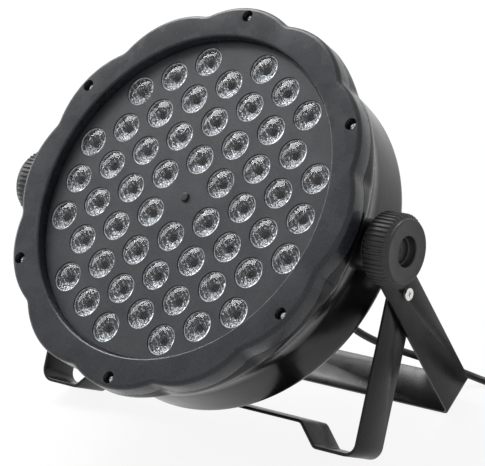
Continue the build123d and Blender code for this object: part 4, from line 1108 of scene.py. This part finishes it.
class PARCAN_OT_knobs(Operator):
    """Makes the two clamp knobs: ribbed drums with a smooth raised disc and a round pocket"""

    bl_idname = "parcan.knobs"
    bl_label = "Clamp knobs"

    def execute(self, context):
        sizes = context.scene.parcan_knob
        for side, name in ((1, "right"), (-1, "left")):
            low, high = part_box(f"knob_{name}")
            radius = (high.z - low.z) / 2
            back, face = sorted((abs(low.x), abs(high.x)))
            grid = knob_grid(side, radius, back, face, sizes)
            knob = surface(f"grip_{name}", grid, wrap_columns=True, sharp=50.0)
            install(knob, f"knob_{name}", "knob_plastic", f"knob_{name}")
        return {"FINISHED"}


def knob_grid(side, radius, back, face, sizes):
    """A drum turned about the tilt axis. Its radius is the section's, less the rib depth times one
    minus the crest, which rises over each rib's flanks as a smooth step of the turn."""
    per_rib, slope = 14, 0.18        # points over one rib, and the share of it that each flank takes
    turn = 2 * np.pi * np.arange(sizes.ribs * per_rib) / (sizes.ribs * per_rib)
    phase = np.abs((turn * sizes.ribs / (2 * np.pi)) % 1 - 0.5)
    rise = np.clip((sizes.crest / 2 + slope / 2 - phase) / slope, 0, 1)
    crest = rise * rise * (3 - 2 * rise)
    disc = radius - sizes.shoulder
    # Distance from the lamp's middle, radius, and how far the ribs cut in.
    rows = [np.array([
        (back, 0.0, 0), (back, radius - 0.0016, 0), (back + 0.0003, radius - 0.0008, 0.4),
        (back + 0.0009, radius - 0.0001, 1), (back + 0.0014, radius, 1), (face - 0.0036, radius, 1),
        (face - 0.0030, radius - 0.0003, 1), (face - 0.0020, disc + 0.0009, 0.5),
        (face - 0.0018, disc + 0.0002, 0),
    ])]
    floor, pocket = face - 0.0050, face - 0.0045
    for points in (
        arc((face - 0.0007, disc - 0.0007), 0.0007, 90, 0, 5),
        np.array([(face - 0.0002, disc - 0.0016), (face - 0.0002, sizes.recess + 0.0012)]),
        arc((face - 0.0008, sizes.recess + 0.0006), 0.0006, 0, -90, 4),
        np.array([(pocket, sizes.recess - 0.0001), (floor, sizes.recess - 0.0006), (floor, 0.0062)]),
        np.array([(face - 0.0046, 0.0058), (pocket, 0.0054), (pocket, 0.0012), (floor, 0.0008), (floor, 0.0)]),
    ):
        rows.append(np.column_stack([points, np.zeros(len(points))]))
    section = np.concatenate(rows)
    along, reach, ribbed = (section[:, part][:, None] for part in range(3))
    reach = reach - ribbed * sizes.rib_depth * (1 - crest[None, :])
    y = PIVOT.y + reach * np.cos(turn)[None, :]
    z = PIVOT.z + reach * np.sin(turn)[None, :]
    return np.stack([side * along + 0 * reach, y, z], axis=-1)


# ------------------------------------------------------------------ stand and small parts
SLOTS = {row["node"]: row["material_slot"] for row in RECORD["subparts"]}
# Part, body, rounding of its edges and segments of the rounding.
STAND_PARTS = (
    ("rear_bracket", "stand", 0.00035, 2), ("front_bracket", "front_stand", 0.00035, 2),
    ("hinge_screws", "stand", 0.0005, 3), ("hinge_nuts", "stand", 0.0003, 2),
)
# Rounding, body (none where each part has a body of its own name) and parts.
SMALL_PARTS = (
    (0.0002, "head", ("bezel_screws", "plate_screw")),
    (0.0003, "head", ("fan_screws", "socket_screws")),
    (0.0004, "head", ("dmx_in_socket", "dmx_out_socket", "fuse_holder", "cable_gland")),
    (0.0003, "head", ("display_window",)),
    (0.0001, None, ("knob_washer_right", "knob_washer_left")),
    (0.0003, None, ("button_mode", "button_down", "button_up", "button_set")),
)


class PARCAN_OT_stand(Operator):
    """Eases the edges of the two bent-strip brackets and of the fold hinge"""

    bl_idname = "parcan.stand"
    bl_label = "Stand"

    def execute(self, context):
        for node, body, edge, segments in STAND_PARTS:
            install(eased(node, edge, segments), body, SLOTS[node], node)
        return {"FINISHED"}


class PARCAN_OT_fittings(Operator):
    """Eases the edges of the screws, sockets, buttons and other small parts that show"""

    bl_idname = "parcan.fittings"
    bl_label = "Fittings"

    def execute(self, context):
        for edge, body, nodes in SMALL_PARTS:
            for node in nodes:
                install(eased(node, edge), body or node, SLOTS[node], node)
        wear(bpy.data.objects["plate_screw_eased"], blackened_screw())
        return {"FINISHED"}


# ------------------------------------------------------------------ carried-over parts
class PARCAN_OT_carried(Operator):
    """Gives every carried-over part the material of its slot"""

    bl_idname = "parcan.carried"
    bl_label = "Carried-over parts"

    def execute(self, context):
        for node, slot in SLOTS.items():
            wear(frame["nodes"][node], finish_of(slot))
        return {"FINISHED"}


class PARCAN_PT_panel(Panel):
    """Lists the steps that build the par can's looks"""

    bl_idname = "PARCAN_PT_panel"
    bl_label = "Par can light"
    bl_space_type = "VIEW_3D"
    bl_region_type = "UI"
    bl_category = "Par can"

    def draw(self, context):
        for step in STEPS:
            self.layout.operator(step.bl_idname)


GROUPS = {
    "parcan_camera": CameraView, "parcan_colours": Colours, "parcan_lead": LeadSizes, "parcan_rim": RimSizes,
    "parcan_housing": HousingSizes, "parcan_lens": LensSizes, "parcan_knob": KnobSizes,
}
STEPS = (
    PARCAN_OT_stage, PARCAN_OT_carried, PARCAN_OT_plug, PARCAN_OT_lead, PARCAN_OT_rim, PARCAN_OT_housing,
    PARCAN_OT_lenses, PARCAN_OT_knobs, PARCAN_OT_stand, PARCAN_OT_fittings,
)


def register():
    for kind in (*GROUPS.values(), *STEPS, PARCAN_PT_panel):
        bpy.utils.register_class(kind)
    for name, kind in GROUPS.items():
        setattr(bpy.types.Scene, name, PointerProperty(type=kind))


def unregister():
    for name in GROUPS:
        delattr(bpy.types.Scene, name)
    for kind in reversed((*GROUPS.values(), *STEPS, PARCAN_PT_panel)):
        bpy.utils.unregister_class(kind)


def main():
    register()
    for step in STEPS:
        family, name = step.bl_idname.split(".")
        getattr(getattr(bpy.ops, family), name)()


if __name__ == "__main__":
    main()
